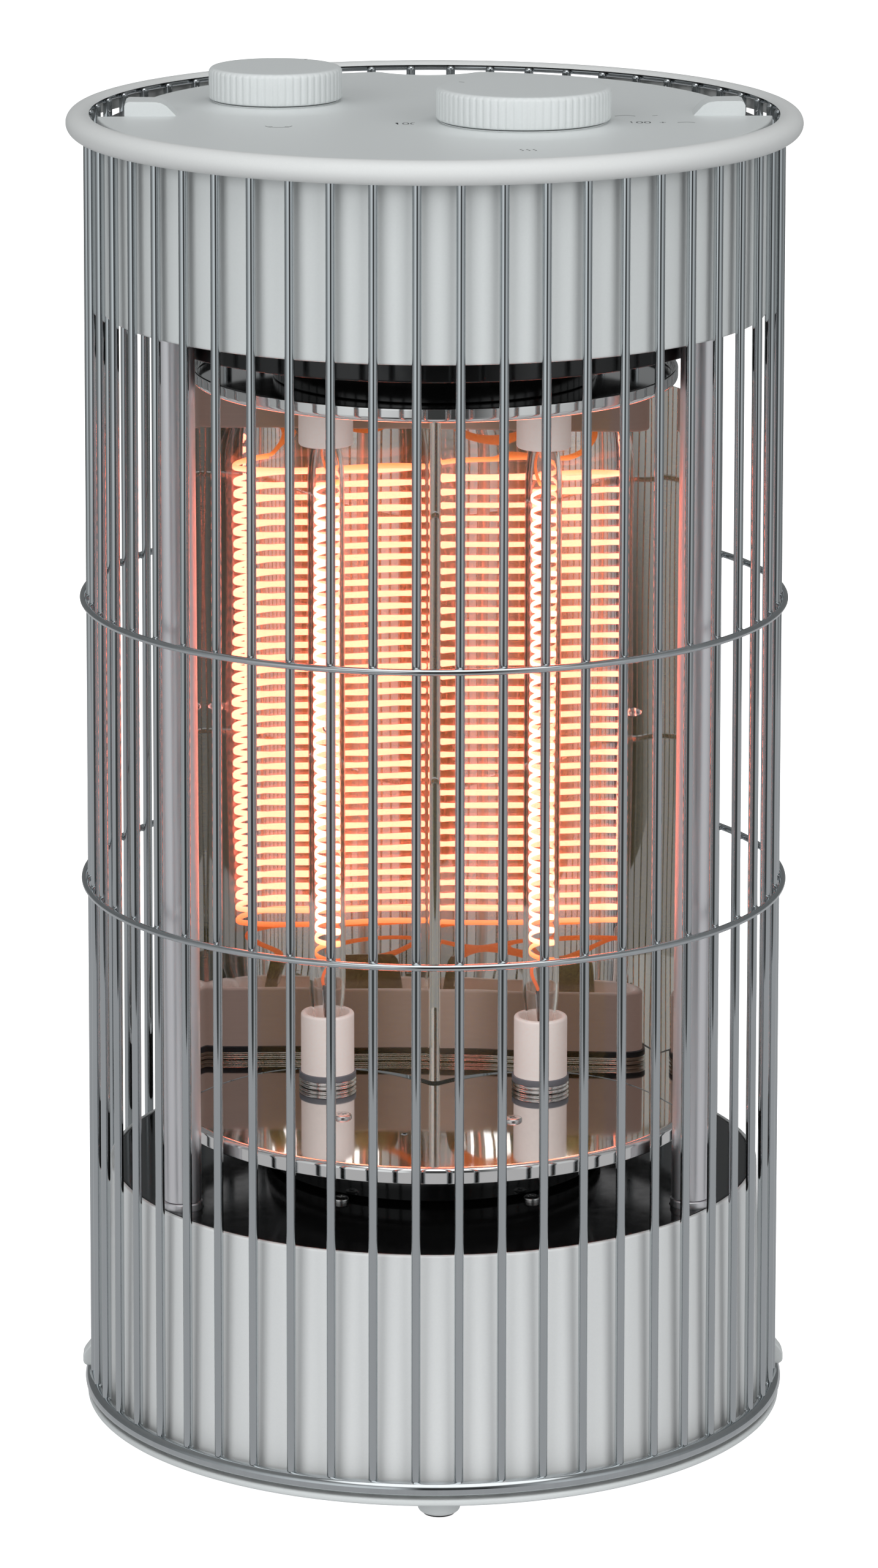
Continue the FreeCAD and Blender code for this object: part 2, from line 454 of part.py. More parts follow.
# --------------------------------------------------------------------- guard
wires = []
for k in range(WIRE_N):
    a = WIRE_A0 + k * 360.0 / WIRE_N
    lean = math.degrees(math.atan2(GUARD_RB - GUARD_RT, WIRE_Z1 - WIRE_Z0))
    c = cyl(WIRE_D / 2, 0, math.hypot(GUARD_RB - GUARD_RT, WIRE_Z1 - WIRE_Z0), 0, 0)
    c = c.makeFillet(1.2, [e for e in c.Edges if e.BoundBox.ZMin > WIRE_Z1 - WIRE_Z0 - 0.5])
    c.rotate(V(0, 0, 0), V(0, 1, 0), -lean)
    c.translate(V(GUARD_RB, 0, WIRE_Z0))
    wires.append(turned(c, a))
save("guard_wires", mk(wires))
save("guard_hoops", mk([torus(r, HOOP_D / 2, z) for z, r in HOOPS]))
save("guard_bottom_ring", torus(RING_R, RING_D / 2, RING_Z))
save("guard_top_ring", torus(TOPRING_R, TOPRING_D / 2, TOPRING_Z))
ell = []
for i in range(48):
    t = 2 * math.pi * i / 48
    ell.append((RIM_R + RIM_A * math.cos(t), RIM_Z + RIM_B * math.sin(t)))
rim = revolve(ell)
chn = [(100, 460), (126.4, 460), (126.9, 474.0), (126.9, 477.0), (126.2, 478.6), (124.9, RIM_ROOF_Z), (100, RIM_ROOF_Z)]
rim = rim.cut(revolve(chn))
t = math.tan(math.radians(RIM_CUT_DEG)) * 160
wedge = Part.Face(Part.makePolygon([V(0, 0, 460), V(t, 160, 460), V(-t, 160, 460), V(0, 0, 460)])).extrude(V(0, 0, 17.2))
rim = rim.cut(wedge)
save("guard_rim", rim)
gap = 360.0 / WIRE_N
clips = []
for a in (WIRE_A0 + 13.5 * gap, WIRE_A0 + 39.5 * gap):
    pr = [(120.6, 18.6), (127.0, 18.6), (128.0, 19.2), (128.3, 20.3), (128.3, 22.3), (127.6, 23.7), (123.9, 28.6), (120.6, 28.9)]
    w = Part.makePolygon([V(p[0], -4.2, p[1]) for p in pr] + [V(pr[0][0], -4.2, pr[0][1])])
    c = Part.Face(w).extrude(V(0, 8.4, 0))
    pr2 = [(120.6, 12.7), (121.7, 12.7), (121.7, 19.1), (120.6, 19.1)]
    w2 = Part.makePolygon([V(p[0], -4.2, p[1]) for p in pr2] + [V(pr2[0][0], -4.2, pr2[0][1])])
    c = fuse([c, Part.Face(w2).extrude(V(0, 8.4, 0))])
    c = c.cut(torus(RING_R, RING_D / 2 + 0.05, RING_Z))
    clips.append(turned(c, a))
save("guard_clips", mk(clips))
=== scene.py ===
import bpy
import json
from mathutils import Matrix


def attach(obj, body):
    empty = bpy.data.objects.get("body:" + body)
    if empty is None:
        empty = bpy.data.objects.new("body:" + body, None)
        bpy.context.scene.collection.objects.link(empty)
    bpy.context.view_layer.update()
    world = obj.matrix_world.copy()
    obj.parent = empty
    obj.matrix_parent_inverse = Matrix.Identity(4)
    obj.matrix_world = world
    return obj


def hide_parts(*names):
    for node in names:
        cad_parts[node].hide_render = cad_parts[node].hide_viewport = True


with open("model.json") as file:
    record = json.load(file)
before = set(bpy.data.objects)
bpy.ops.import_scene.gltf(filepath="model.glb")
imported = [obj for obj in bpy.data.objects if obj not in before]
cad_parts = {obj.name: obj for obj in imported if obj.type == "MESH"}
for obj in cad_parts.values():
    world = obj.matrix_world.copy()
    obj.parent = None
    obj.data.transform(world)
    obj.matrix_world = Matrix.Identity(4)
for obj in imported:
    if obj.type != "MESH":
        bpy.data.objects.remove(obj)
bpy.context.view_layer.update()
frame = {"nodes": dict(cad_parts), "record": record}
import json
import math
import random

import bpy
import bmesh
from mathutils import Matrix, Vector

MM = 0.001
YAW = math.radians(-4.5)
random.seed(7)
sc = bpy.context.scene


# ------------------------------------------------------------------ materials
def new_mat(name):
    m = bpy.data.materials.new(name)
    m.use_nodes = True
    nt = m.node_tree
    return m, nt, nt.nodes["Principled BSDF"]


def node(nt, kind, **props):
    n = nt.nodes.new(kind)
    for k, v in props.items():
        setattr(n, k, v)
    return n


def ramp(nt, stops, interp="LINEAR"):
    r = nt.nodes.new("ShaderNodeValToRGB")
    r.color_ramp.interpolation = interp
    el = r.color_ramp.elements
    while len(el) < len(stops):
        el.new(0.5)
    for e, (p, c) in zip(el, stops):
        e.position = p
        e.color = (c[0], c[1], c[2], 1.0)
    return r


def finish(name, color, rough, metal=0.0, scale=350.0, stretch=(1, 1, 1), tint=0.03, drough=0.05,
           bump=0.02, dist=0.0002, spec=0.5, coat=0.0, coat_rough=0.05):
    """Solid-coloured surface with fine procedural grain in colour, roughness and relief."""
    m, nt, p = new_mat(name)
    p.inputs["Metallic"].default_value = metal
    p.inputs["Specular IOR Level"].default_value = spec
    p.inputs["Coat Weight"].default_value = coat
    p.inputs["Coat Roughness"].default_value = coat_rough
    tc = node(nt, "ShaderNodeTexCoord")
    mp = node(nt, "ShaderNodeMapping")
    mp.inputs["Scale"].default_value = stretch
    nz = node(nt, "ShaderNodeTexNoise")
    nz.inputs["Scale"].default_value = scale
    nz.inputs["Detail"].default_value = 3.0
    nt.links.new(tc.outputs["Object"], mp.inputs["Vector"])
    nt.links.new(mp.outputs["Vector"], nz.inputs["Vector"])
    lo = [max(0.0, c * (1 - tint)) for c in color]
    hi = [min(1.0, c * (1 + tint)) for c in color]
    cr = ramp(nt, [(0.3, lo), (0.7, hi)])
    nt.links.new(nz.outputs["Fac"], cr.inputs["Fac"])
    nt.links.new(cr.outputs["Color"], p.inputs["Base Color"])
    mr = node(nt, "ShaderNodeMapRange")
    mr.inputs["From Min"].default_value = 0.3
    mr.inputs["From Max"].default_value = 0.7
    mr.inputs["To Min"].default_value = max(0.0, rough - drough)
    mr.inputs["To Max"].default_value = rough + drough
    nt.links.new(nz.outputs["Fac"], mr.inputs["Value"])
    nt.links.new(mr.outputs["Result"], p.inputs["Roughness"])
    if bump > 0:
        bp = node(nt, "ShaderNodeBump")
        bp.inputs["Strength"].default_value = bump
        bp.inputs["Distance"].default_value = dist
        nt.links.new(nz.outputs["Fac"], bp.inputs["Height"])
        nt.links.new(bp.outputs["Normal"], p.inputs["Normal"])
    return m


M = {}
# lit and shaded copies of one white plastic: the albedo differs per part as painted light, with the base drum lightest
# to make up for its shade
M["white_plastic"] = finish("white_plastic_m", (0.66, 0.685, 0.685), 0.46, scale=1400, tint=0.012, bump=0.03, dist=0.00006)
M["drum_white"] = finish("drum_white_lit_copy_m", (0.735, 0.763, 0.763), 0.46, scale=1400, tint=0.012, bump=0.03, dist=0.00006)
M["base_white"] = finish("base_white_lit_copy_m", (0.815, 0.83, 0.83), 0.46, scale=1400, tint=0.012, bump=0.03, dist=0.00006)
M["rim_white"] = finish("rim_white_m", (0.69, 0.70, 0.695), 0.48, scale=1400, tint=0.012, bump=0.03, dist=0.00006)
M["chrome_wire"] = finish("chrome_wire_m", (0.54, 0.566, 0.58), 0.05, 1.0, scale=260, stretch=(1, 1, 0.08), tint=0.03,
                          drough=0.015, bump=0.001)
M["post_aluminium"] = finish("post_aluminium_m", (0.86, 0.845, 0.865), 0.36, 1.0, scale=900, stretch=(1, 1, 0.03),
                             tint=0.03, drough=0.05, bump=0.03, dist=0.0001)
M["mirror_sheet"] = finish("mirror_sheet_m", (0.80, 0.79, 0.78), 0.06, 1.0, scale=60, tint=0.02, drough=0.02, bump=0.012,
                           dist=0.0004)
M["black_gloss"] = finish("black_gloss_m", (0.006, 0.006, 0.0062), 0.10, scale=300, tint=0.1, drough=0.03, bump=0.004)
M["black_plastic"] = finish("black_plastic_m", (0.012, 0.012, 0.013), 0.42, scale=900, tint=0.1)
M["ceramic_white"] = finish("ceramic_white_m", (0.90, 0.865, 0.84), 0.62, scale=900, tint=0.03, bump=0.06, dist=0.0001)
# painted glow: a weak warm emission stands in for the coil light falling on the ceramics
ceramic_glow_paint = M["ceramic_white"].node_tree.nodes["Principled BSDF"]
ceramic_glow_paint.inputs["Emission Color"].default_value = (1.0, 0.66, 0.55, 1)
ceramic_glow_paint.inputs["Emission Strength"].default_value = 0.19
M["screw_steel"] = finish("screw_steel_m", (0.66, 0.65, 0.64), 0.22, 1.0, scale=900, tint=0.04)
M["chassis_steel"] = finish("chassis_steel_m", (0.62, 0.62, 0.62), 0.25, 1.0, scale=300, stretch=(1, 0.1, 1), tint=0.05)
M["ferrule_steel"] = finish("ferrule_steel_m", (0.62, 0.60, 0.58), 0.16, 1.0, scale=300, tint=0.03, drough=0.03, bump=0.006)
M["washer_grey"] = finish("washer_grey_m", (0.20, 0.195, 0.215), 0.5, scale=900, tint=0.05)
M["nylon"] = finish("nylon_m", (0.72, 0.70, 0.64), 0.5, scale=700)
M["bush_brass"] = finish("bush_brass_m", (0.72, 0.52, 0.24), 0.3, 1.0, scale=700, tint=0.05)
M["motor_case"] = finish("motor_case_m", (0.45, 0.46, 0.47), 0.38, 1.0, scale=600, tint=0.05)
M["rubber_black"] = finish("rubber_black_m", (0.018, 0.018, 0.019), 0.75, scale=1100, tint=0.15, bump=0.08)
M["lead_insulation"] = finish("lead_insulation_m", (0.62, 0.60, 0.55), 0.6, scale=900)
M["print_grey"] = finish("print_grey_m", (0.075, 0.08, 0.085), 0.6, scale=900, tint=0.1, bump=0.0)
M["crimp_dark"] = finish("crimp_dark_m", (0.16, 0.14, 0.13), 0.4, 1.0, scale=900, tint=0.15)


def bright_sheet(name, color, grain, fine, coarse, share, bump):
    """Rolled bright aluminium: a mirror with a sparse, very fine satin grain whose warm gold tint is painted coil glow.
    """
    m, nt, p = new_mat(name)
    p.inputs["Metallic"].default_value = 1.0
    tc = node(nt, "ShaderNodeTexCoord")
    n1 = node(nt, "ShaderNodeTexNoise")
    n1.inputs["Scale"].default_value = 16000.0
    n1.inputs["Detail"].default_value = 1.0
    nt.links.new(tc.outputs["Object"], n1.inputs["Vector"])
    # the satin grain sits behind and beside the tubes, tinted warm gold as painted coil glow in its haze; the outer
    # wings stay bright
    sx = node(nt, "ShaderNodeSeparateXYZ")
    nt.links.new(tc.outputs["Object"], sx.inputs["Vector"])
    ab = node(nt, "ShaderNodeMath", operation="ABSOLUTE")
    nt.links.new(sx.outputs["X"], ab.inputs[0])
    wing = node(nt, "ShaderNodeMapRange")
    wing.inputs["From Min"].default_value = 0.062
    wing.inputs["From Max"].default_value = 0.073
    wing.inputs["To Max"].default_value = 0.5
    nt.links.new(ab.outputs["Value"], wing.inputs["Value"])
    ad = node(nt, "ShaderNodeMath", operation="ADD")
    nt.links.new(n1.outputs["Fac"], ad.inputs[0])
    nt.links.new(wing.outputs["Result"], ad.inputs[1])
    rr = ramp(nt, [(0.0, (coarse,) * 3), (share, (fine,) * 3)], "CONSTANT")
    nt.links.new(ad.outputs["Value"], rr.inputs["Fac"])
    nt.links.new(rr.outputs["Color"], p.inputs["Roughness"])
    mp = node(nt, "ShaderNodeMapping")
    mp.inputs["Scale"].default_value = (1.0, 1.0, 0.5)
    n2 = node(nt, "ShaderNodeTexNoise")
    n2.inputs["Scale"].default_value = 55.0
    n2.inputs["Detail"].default_value = 2.0
    nt.links.new(tc.outputs["Object"], mp.inputs["Vector"])
    nt.links.new(mp.outputs["Vector"], n2.inputs["Vector"])
    cr = ramp(nt, [(0.0, grain), (share, color)], "CONSTANT")
    nt.links.new(ad.outputs["Value"], cr.inputs["Fac"])
    nt.links.new(cr.outputs["Color"], p.inputs["Base Color"])
    bp = node(nt, "ShaderNodeBump")
    bp.inputs["Strength"].default_value = bump
    bp.inputs["Distance"].default_value = 0.0004
    nt.links.new(n2.outputs["Fac"], bp.inputs["Height"])
    nt.links.new(bp.outputs["Normal"], p.inputs["Normal"])
    return m


# the gold grain colour is painted glow: it tints the haze near the tubes like the coils' orange light
M["reflector_sheet"] = bright_sheet("reflector_sheet_m", (0.62, 0.61, 0.605), (0.74, 0.57, 0.18), 0.02, 0.30, 0.40, 0.012)


def quartz():
    m, nt, p = new_mat("quartz_m")
    p.inputs["Base Color"].default_value = (1.0, 0.995, 0.99, 1)
    p.inputs["Transmission Weight"].default_value = 1.0
    p.inputs["IOR"].default_value = 1.458
    tc = node(nt, "ShaderNodeTexCoord")
    nz = node(nt, "ShaderNodeTexNoise")
    nz.inputs["Scale"].default_value = 120.0
    mr = node(nt, "ShaderNodeMapRange")
    mr.inputs["To Min"].default_value = 0.0
    mr.inputs["To Max"].default_value = 0.02
    nt.links.new(tc.outputs["Object"], nz.inputs["Vector"])
    nt.links.new(nz.outputs["Fac"], mr.inputs["Value"])
    nt.links.new(mr.outputs["Result"], p.inputs["Roughness"])
    return m


M["quartz"] = quartz()


def glow():
    """Carbon ribbon: hottest along the middle, red at the two ends."""
    m, nt, p = new_mat("carbon_coil_m")
    p.inputs["Base Color"].default_value = (0.05, 0.045, 0.04, 1)
    p.inputs["Roughness"].default_value = 0.8
    tc = node(nt, "ShaderNodeTexCoord")
    sx = node(nt, "ShaderNodeSeparateXYZ")
    mr = node(nt, "ShaderNodeMapRange")
    mr.inputs["From Min"].default_value = 0.158
    mr.inputs["From Max"].default_value = 0.362
    nt.links.new(tc.outputs["Object"], sx.inputs["Vector"])
    nt.links.new(sx.outputs["Z"], mr.inputs["Value"])
    hot = (1.0, 0.196, 0.125)
    cool = (1.0, 0.16, 0.03)
    cr = ramp(nt, [(0.0, cool), (0.065, cool), (0.115, hot), (0.905, hot), (0.935, (1.0, 0.20, 0.04)), (1.0, (1.0, 0.17, 0.03))])
    nt.links.new(mr.outputs["Result"], cr.inputs["Fac"])
    nt.links.new(cr.outputs["Color"], p.inputs["Emission Color"])
    st = ramp(nt, [(0.0, (0.07,) * 3), (0.065, (0.10,) * 3), (0.115, (1,) * 3), (0.905, (1,) * 3), (0.935, (0.13,) * 3), (1.0, (0.06,) * 3)])
    nt.links.new(mr.outputs["Result"], st.inputs["Fac"])
    nz = node(nt, "ShaderNodeTexNoise")
    nz.inputs["Scale"].default_value = 500.0
    nt.links.new(tc.outputs["Object"], nz.inputs["Vector"])
    n2 = node(nt, "ShaderNodeMapRange")
    n2.inputs["To Min"].default_value = 8.1
    n2.inputs["To Max"].default_value = 8.9
    nt.links.new(nz.outputs["Fac"], n2.inputs["Value"])
    mul = node(nt, "ShaderNodeMath", operation="MULTIPLY")
    nt.links.new(st.outputs["Color"], mul.inputs[0])
    nt.links.new(n2.outputs["Result"], mul.inputs[1])
    nt.links.new(mul.outputs["Value"], p.inputs["Emission Strength"])
    return m


M["carbon_coil"] = glow()


# ------------------------------------------------------------------- geometry
class Shape:
    """Collects vertices (mm) and faces of one piece."""

    def __init__(self):
        self.v, self.f, self.m = [], [], []

    def add(self, verts, faces, mat=0, at=None):
        o = len(self.v)
        if at is not None:
            verts = [at @ Vector(p) for p in verts]
        self.v += [tuple(p) for p in verts]
        self.f += [tuple(i + o for i in f) for f in faces]
        self.m += [mat] * len(faces)
        return self


def fillet(pts, radii, n=5):
    """Rounds the corners of a closed outline of (a, b) points."""
    out = []
    k = len(pts)
    for i, (p, r) in enumerate(zip(pts, radii)):
        if r <= 0:
            out.append(p)
            continue
        a, b = pts[i - 1], pts[(i + 1) % k]
        u = (a[0] - p[0], a[1] - p[1])
        w = (b[0] - p[0], b[1] - p[1])
        lu, lw = math.hypot(*u), math.hypot(*w)
        u = (u[0] / lu, u[1] / lu)
        w = (w[0] / lw, w[1] / lw)
        ang = math.acos(max(-1, min(1, u[0] * w[0] + u[1] * w[1])))
        t = min(r / math.tan(ang / 2), 0.49 * lu, 0.49 * lw)
        rr = t * math.tan(ang / 2)
        bis = (u[0] + w[0], u[1] + w[1])
        lb = math.hypot(*bis)
        d = rr / math.sin(ang / 2)
        c = (p[0] + bis[0] / lb * d, p[1] + bis[1] / lb * d)
        p0 = (p[0] + u[0] * t, p[1] + u[1] * t)
        p1 = (p[0] + w[0] * t, p[1] + w[1] * t)
        a0 = math.atan2(p0[1] - c[1], p0[0] - c[0])
        a1 = math.atan2(p1[1] - c[1], p1[0] - c[0])
        da = (a1 - a0 + math.pi) % (2 * math.pi) - math.pi
        for j in range(n + 1):
            a = a0 + da * j / n
            out.append((c[0] + rr * math.cos(a), c[1] + rr * math.sin(a)))
    return out


def lathe(s, prof, segs=128, cx=0.0, cy=0.0, mat=0, closed=True):
    """Turns a (r, z) outline about a vertical axis; long straight runs get a loop near each end."""
    full = []
    for k, (r, z) in enumerate(prof):
        full.append((r, z))
        if k == len(prof) - 1 and not closed:
            break
        r2, z2 = prof[(k + 1) % len(prof)]
        ln = math.hypot(r2 - r, z2 - z)
        if ln > 2.5:
            for d in (0.25, ln - 0.25):
                if min(r + (r2 - r) * d / ln, 9) > 0.3:
                    full.append((r + (r2 - r) * d / ln, z + (z2 - z) * d / ln))
    prof = full
    verts, rows, faces = [], [], []
    for r, z in prof:
        if abs(r) < 1e-6:
            rows.append([len(verts)] * segs)
            verts.append((cx, cy, z))
        else:
            rows.append(list(range(len(verts), len(verts) + segs)))
            for i in range(segs):
                a = 2 * math.pi * i / segs
                verts.append((cx + r * math.cos(a), cy + r * math.sin(a), z))
    n = len(rows)
    for k in range(n if closed else n - 1):
        A, B = rows[k], rows[(k + 1) % n]
        if A[0] == A[1] and B[0] == B[1]:
            continue
        for i in range(segs):
            j = (i + 1) % segs
            q = [A[i], A[j], B[j], B[i]]
            u = []
            for x in q:
                if x not in u:
                    u.append(x)
            if len(u) > 2:
                faces.append(u)
    return s.add(verts, faces, mat)


def ring(s, R, r, z, segs=288, sides=18, mat=0, cx=0.0, cy=0.0):
    prof = [(R + r * math.cos(2 * math.pi * i / sides), z + r * math.sin(2 * math.pi * i / sides)) for i in range(sides)]
    return lathe(s, prof, segs, cx, cy, mat)


def sweep(s, pts, radius, sides=12, mat=0, caps=True):
    """Round wire along a list of points; radius is one number or one per point."""
    P = [Vector(p) for p in pts]
    n = len(P)
    rad = radius if isinstance(radius, (list, tuple)) else [radius] * n
    T = [(P[min(i + 1, n - 1)] - P[max(i - 1, 0)]).normalized() for i in range(n)]
    up = Vector((1, 0, 0)) if abs(T[0].x) < 0.9 else Vector((0, 1, 0))
    N = (up - T[0] * up.dot(T[0])).normalized()
    verts, faces = [], []
    for i in range(n):
        N = (N - T[i] * N.dot(T[i])).normalized()
        B = T[i].cross(N)
        for k in range(sides):
            a = 2 * math.pi * k / sides
            verts.append(P[i] + (N * math.cos(a) + B * math.sin(a)) * rad[i])
    for i in range(n - 1):
        for k in range(sides):
            j = (k + 1) % sides
            faces.append((i * sides + k, i * sides + j, (i + 1) * sides + j, (i + 1) * sides + k))
    if caps:
        faces.append(tuple(range(sides)))
        faces.append(tuple((n - 1) * sides + k for k in reversed(range(sides))))
    return s.add(verts, faces, mat)


def ball(s, c, rx, ry, rz, rot=0.0, segs=12, rows=8, mat=0):
    verts, faces = [(0, 0, -rz)], []
    for i in range(1, rows):
        t = -math.pi / 2 + math.pi * i / rows
        for k in range(segs):
            a = 2 * math.pi * k / segs
            verts.append((rx * math.cos(t) * math.cos(a), ry * math.cos(t) * math.sin(a), rz * math.sin(t)))
    verts.append((0, 0, rz))
    top = len(verts) - 1
    for k in range(segs):
        j = (k + 1) % segs
        faces.append((0, 1 + j, 1 + k))
        for i in range(rows - 2):
            a, b = 1 + i * segs, 1 + (i + 1) * segs
            faces.append((a + k, a + j, b + j, b + k))
        a = 1 + (rows - 2) * segs
        faces.append((a + k, a + j, top))
    return s.add(verts, faces, mat, Matrix.Translation(Vector(c)) @ Matrix.Rotation(rot, 4, "Z"))


def prism(s, outline, z0, z1, mat=0, at=None):
    """Extrudes a closed (x, y) outline."""
    n = len(outline)
    verts = [(x, y, z0) for x, y in outline] + [(x, y, z1) for x, y in outline]
    faces = [tuple(reversed(range(n))), tuple(range(n, 2 * n))]
    faces += [(i, (i + 1) % n, n + (i + 1) % n, n + i) for i in range(n)]
    return s.add(verts, faces, mat, at)


def make(name, s, mats, body, replaces=(), sharp=32.0, yaw=0.0, bevel=0.0, fix=True):
    me = bpy.data.meshes.new(name)
    c, si = math.cos(yaw), math.sin(yaw)
    me.from_pydata([((x * c - y * si) * MM, (x * si + y * c) * MM, z * MM) for x, y, z in s.v], [], s.f)
    me.polygons.foreach_set("material_index", s.m)
    bm = bmesh.new()
    bm.from_mesh(me)
    bmesh.ops.remove_doubles(bm, verts=bm.verts, dist=1e-7)
    bmesh.ops.dissolve_degenerate(bm, edges=bm.edges, dist=1e-8)
    if fix:
        bmesh.ops.recalc_face_normals(bm, faces=bm.faces)
    if bevel > 0:
        ed = [e for e in bm.edges if len(e.link_faces) == 2 and e.calc_face_angle() > math.radians(40)]
        bmesh.ops.bevel(bm, geom=ed, offset=bevel * MM, segments=3, profile=0.5, affect="EDGES", clamp_overlap=True)
    for f in bm.faces:
        f.smooth = True
    bm.to_mesh(me)
    bm.free()
    me.set_sharp_from_angle(angle=math.radians(sharp))
    ob = bpy.data.objects.new(name, me)
    sc.collection.objects.link(ob)
    for m in mats:
        me.materials.append(M[m])
    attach(ob, body)
    if replaces:
        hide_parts(*replaces)
    return ob


def carve(ob, cutters):
    """Takes the cutter shapes out of a piece for good."""
    s = Shape()
    for fn in cutters:
        fn(s)
    me = bpy.data.meshes.new("cutter")
    me.from_pydata([(x * MM, y * MM, z * MM) for x, y, z in s.v], [], s.f)
    bm = bmesh.new()
    bm.from_mesh(me)
    bmesh.ops.recalc_face_normals(bm, faces=bm.faces)
    bm.to_mesh(me)
    bm.free()
    co = bpy.data.objects.new("cutter", me)
    sc.collection.objects.link(co)
    md = ob.modifiers.new("cut", "BOOLEAN")
    md.operation, md.object, md.solver = "DIFFERENCE", co, "EXACT"
    bpy.context.view_layer.update()
    dg = bpy.context.evaluated_depsgraph_get()
    out = bpy.data.meshes.new_from_object(ob.evaluated_get(dg))
    out.name = ob.name
    ob.modifiers.clear()
    old = ob.data
    ob.data = out
    bpy.data.meshes.remove(old)
    bpy.data.objects.remove(co)
    bpy.data.meshes.remove(me)
    out.polygons.foreach_set("use_smooth", [True] * len(out.polygons))
    out.set_sharp_from_angle(angle=math.radians(32))
    return ob


def polar(r, deg):
    a = math.radians(deg)
    return r * math.cos(a), r * math.sin(a)


def turn(x, y, yaw=YAW):
    return x * math.cos(yaw) - y * math.sin(yaw), x * math.sin(yaw) + y * math.cos(yaw)


# ---------------------------------------------------------------- wire guard
N_WIRE, A0 = 52, -93.92
PITCH = 360.0 / N_WIRE
HOOPS = ((204.1, 125.35), (307.2, 124.72))


def wire_r(z):
    """Centre radius of the upright wires, which lean out a little towards the floor."""
    return 123.8 - 2.8 * (z - 13.2) / 465.8


s = Shape()
for k in range(N_WIRE):
    a = A0 + k * PITCH
    ca, sa = polar(1.0, a)
    prof = [(0, 13.2), (1.2, 13.2), (1.5, 13.35), (1.65, 13.8)]
    prof += [(1.65, z) for z in (100, 200, 300, 400)]
    for i in range(6):
        t = math.radians(90 * i / 5)
        prof.append((0.45 + 1.2 * math.cos(t), 477.8 + 1.2 * math.sin(t)))
    prof.append((0, 479.0))
    first = len(s.v)
    lathe(s, prof, 20, 0, 0, closed=False)
    for i in range(first, len(s.v)):
        x, y, z = s.v[i]
        x += wire_r(z)
        s.v[i] = (x * ca - y * sa, x * sa + y * ca, z)
    for z, r in HOOPS:
        ball(s, polar(wire_r(z) + 1.55, a) + (z,), 0.55, 1.75, 1.25, math.radians(a))
    ball(s, polar(wire_r(18.0) - 0.4, a) + (17.9,), 1.3, 1.9, 1.1, math.radians(a))
make("guard_uprights", s, ["chrome_wire"], "guard", ["guard_wires"])
s = Shape()
for z, r in HOOPS:
    ring(s, r, 1.2, z)
make("guard_hoop_pair", s, ["chrome_wire"], "guard", ["guard_hoops"])
make("guard_foot_ring", ring(Shape(), 124.8, 2.6, 15.6, sides=24), ["chrome_wire"], "guard", ["guard_bottom_ring"])
make("guard_crown_ring", ring(Shape(), 123.4, 1.1, 478.1), ["chrome_wire"], "guard", ["guard_top_ring"])

# moulded rim: a hollow half-round section, cut back behind for the hand-hold
sec = []
for i in range(29):
    t = math.radians(135.2 - (135.2 + 60.0) * i / 28)
    sec.append((124.0 + 4.8 * math.cos(t), 476.2 + 4.4 * math.sin(t)))
sec += [(126.75, 473.4), (126.9, 474.2), (126.9, 477.0), (126.6, 478.0), (126.1, 478.7), (124.9, 479.3)]
s = Shape()
CUT = 31.0
angs = [90 + CUT + (360 - 2 * CUT) * i / 236 for i in range(237)] + [90 - CUT + 2 * CUT * i / 60 for i in range(61)]
clamp = [False] * 237 + [True] * 61
verts, faces = [], []
for a, cl in zip(angs, clamp):
    ca, sa = math.cos(math.radians(a)), math.sin(math.radians(a))
    for r, z in sec:
        verts.append((r * ca, r * sa, max(z, 477.2) if cl else z))
n, k = len(angs), len(sec)
for i in range(n):
    for j in range(k):
        faces.append((i * k + j, i * k + (j + 1) % k, ((i + 1) % n) * k + (j + 1) % k, ((i + 1) % n) * k + j))
s.add(verts, faces)
make("guard_rim_cap", s, ["rim_white"], "guard", ["guard_rim"], sharp=40)

s = Shape()
for a in (A0 + 13.5 * PITCH, A0 + 39.5 * PITCH):
    pr = [(120.6, 12.7), (121.65, 12.7), (121.65, 18.6), (126.9, 18.6), (128.0, 19.3), (128.25, 20.3), (128.25, 22.3), (127.6, 23.7),
          (123.9, 28.6), (120.6, 28.9)]
    n = len(pr)
    vs = [(r, -4.15, z) for r, z in pr] + [(r, 4.15, z) for r, z in pr]
    fs = [tuple(range(n)), tuple(reversed(range(n, 2 * n)))] + [(i, (i + 1) % n, n + (i + 1) % n, n + i) for i in range(n)]
    s.add(vs, fs, 0, Matrix.Rotation(math.radians(a), 4, "Z"))
make("guard_side_clips", s, ["white_plastic"], "guard", ["guard_clips"], bevel=0.45)

# ----------------------------------------------------------------------- base
feet = [polar(106.0, -90 + 72 * i) for i in range(5)]
s = Shape()
lathe(s, fillet([(0, 9.6), (126.6, 9.6), (126.6, 12.0), (115.3, 12.0), (115.3, 17.0), (112.8, 17.0), (112.8, 12.0), (0, 12.0)],
                [0, 0.9, 0.9, 0.3, 0.3, 0.3, 0, 0]), 256)
pan = make("base_floor_pan", s, ["white_plastic"], "base", ["base_pan"])
carve(pan, [lambda q: lathe(q, [(0, 5), (3.55, 5), (3.55, 15), (0, 15)], 32, -48.0, -48.0)])
s = Shape()
for x, y in feet:
    lathe(s, fillet([(0, 10.5), (7.5, 10.5), (7.5, 0.7), (0, 0.7)], [0, 0, 1.9, 0], n=8), 64, x, y)
for x, y in [polar(98.0, a) for a in (-54, 18, 162, 234)]:
    lathe(s, [(1.7, 11.8), (4.5, 11.8), (4.5, 20.0), (1.7, 20.0)], 32, x, y)
lathe(s, [(3.55, 11.8), (6.0, 11.8), (6.0, 20.0), (3.55, 20.0)], 32, -48.0, -48.0)
make("base_pan_feet", s, ["white_plastic"], "base", ["base_pan"])
s = Shape()
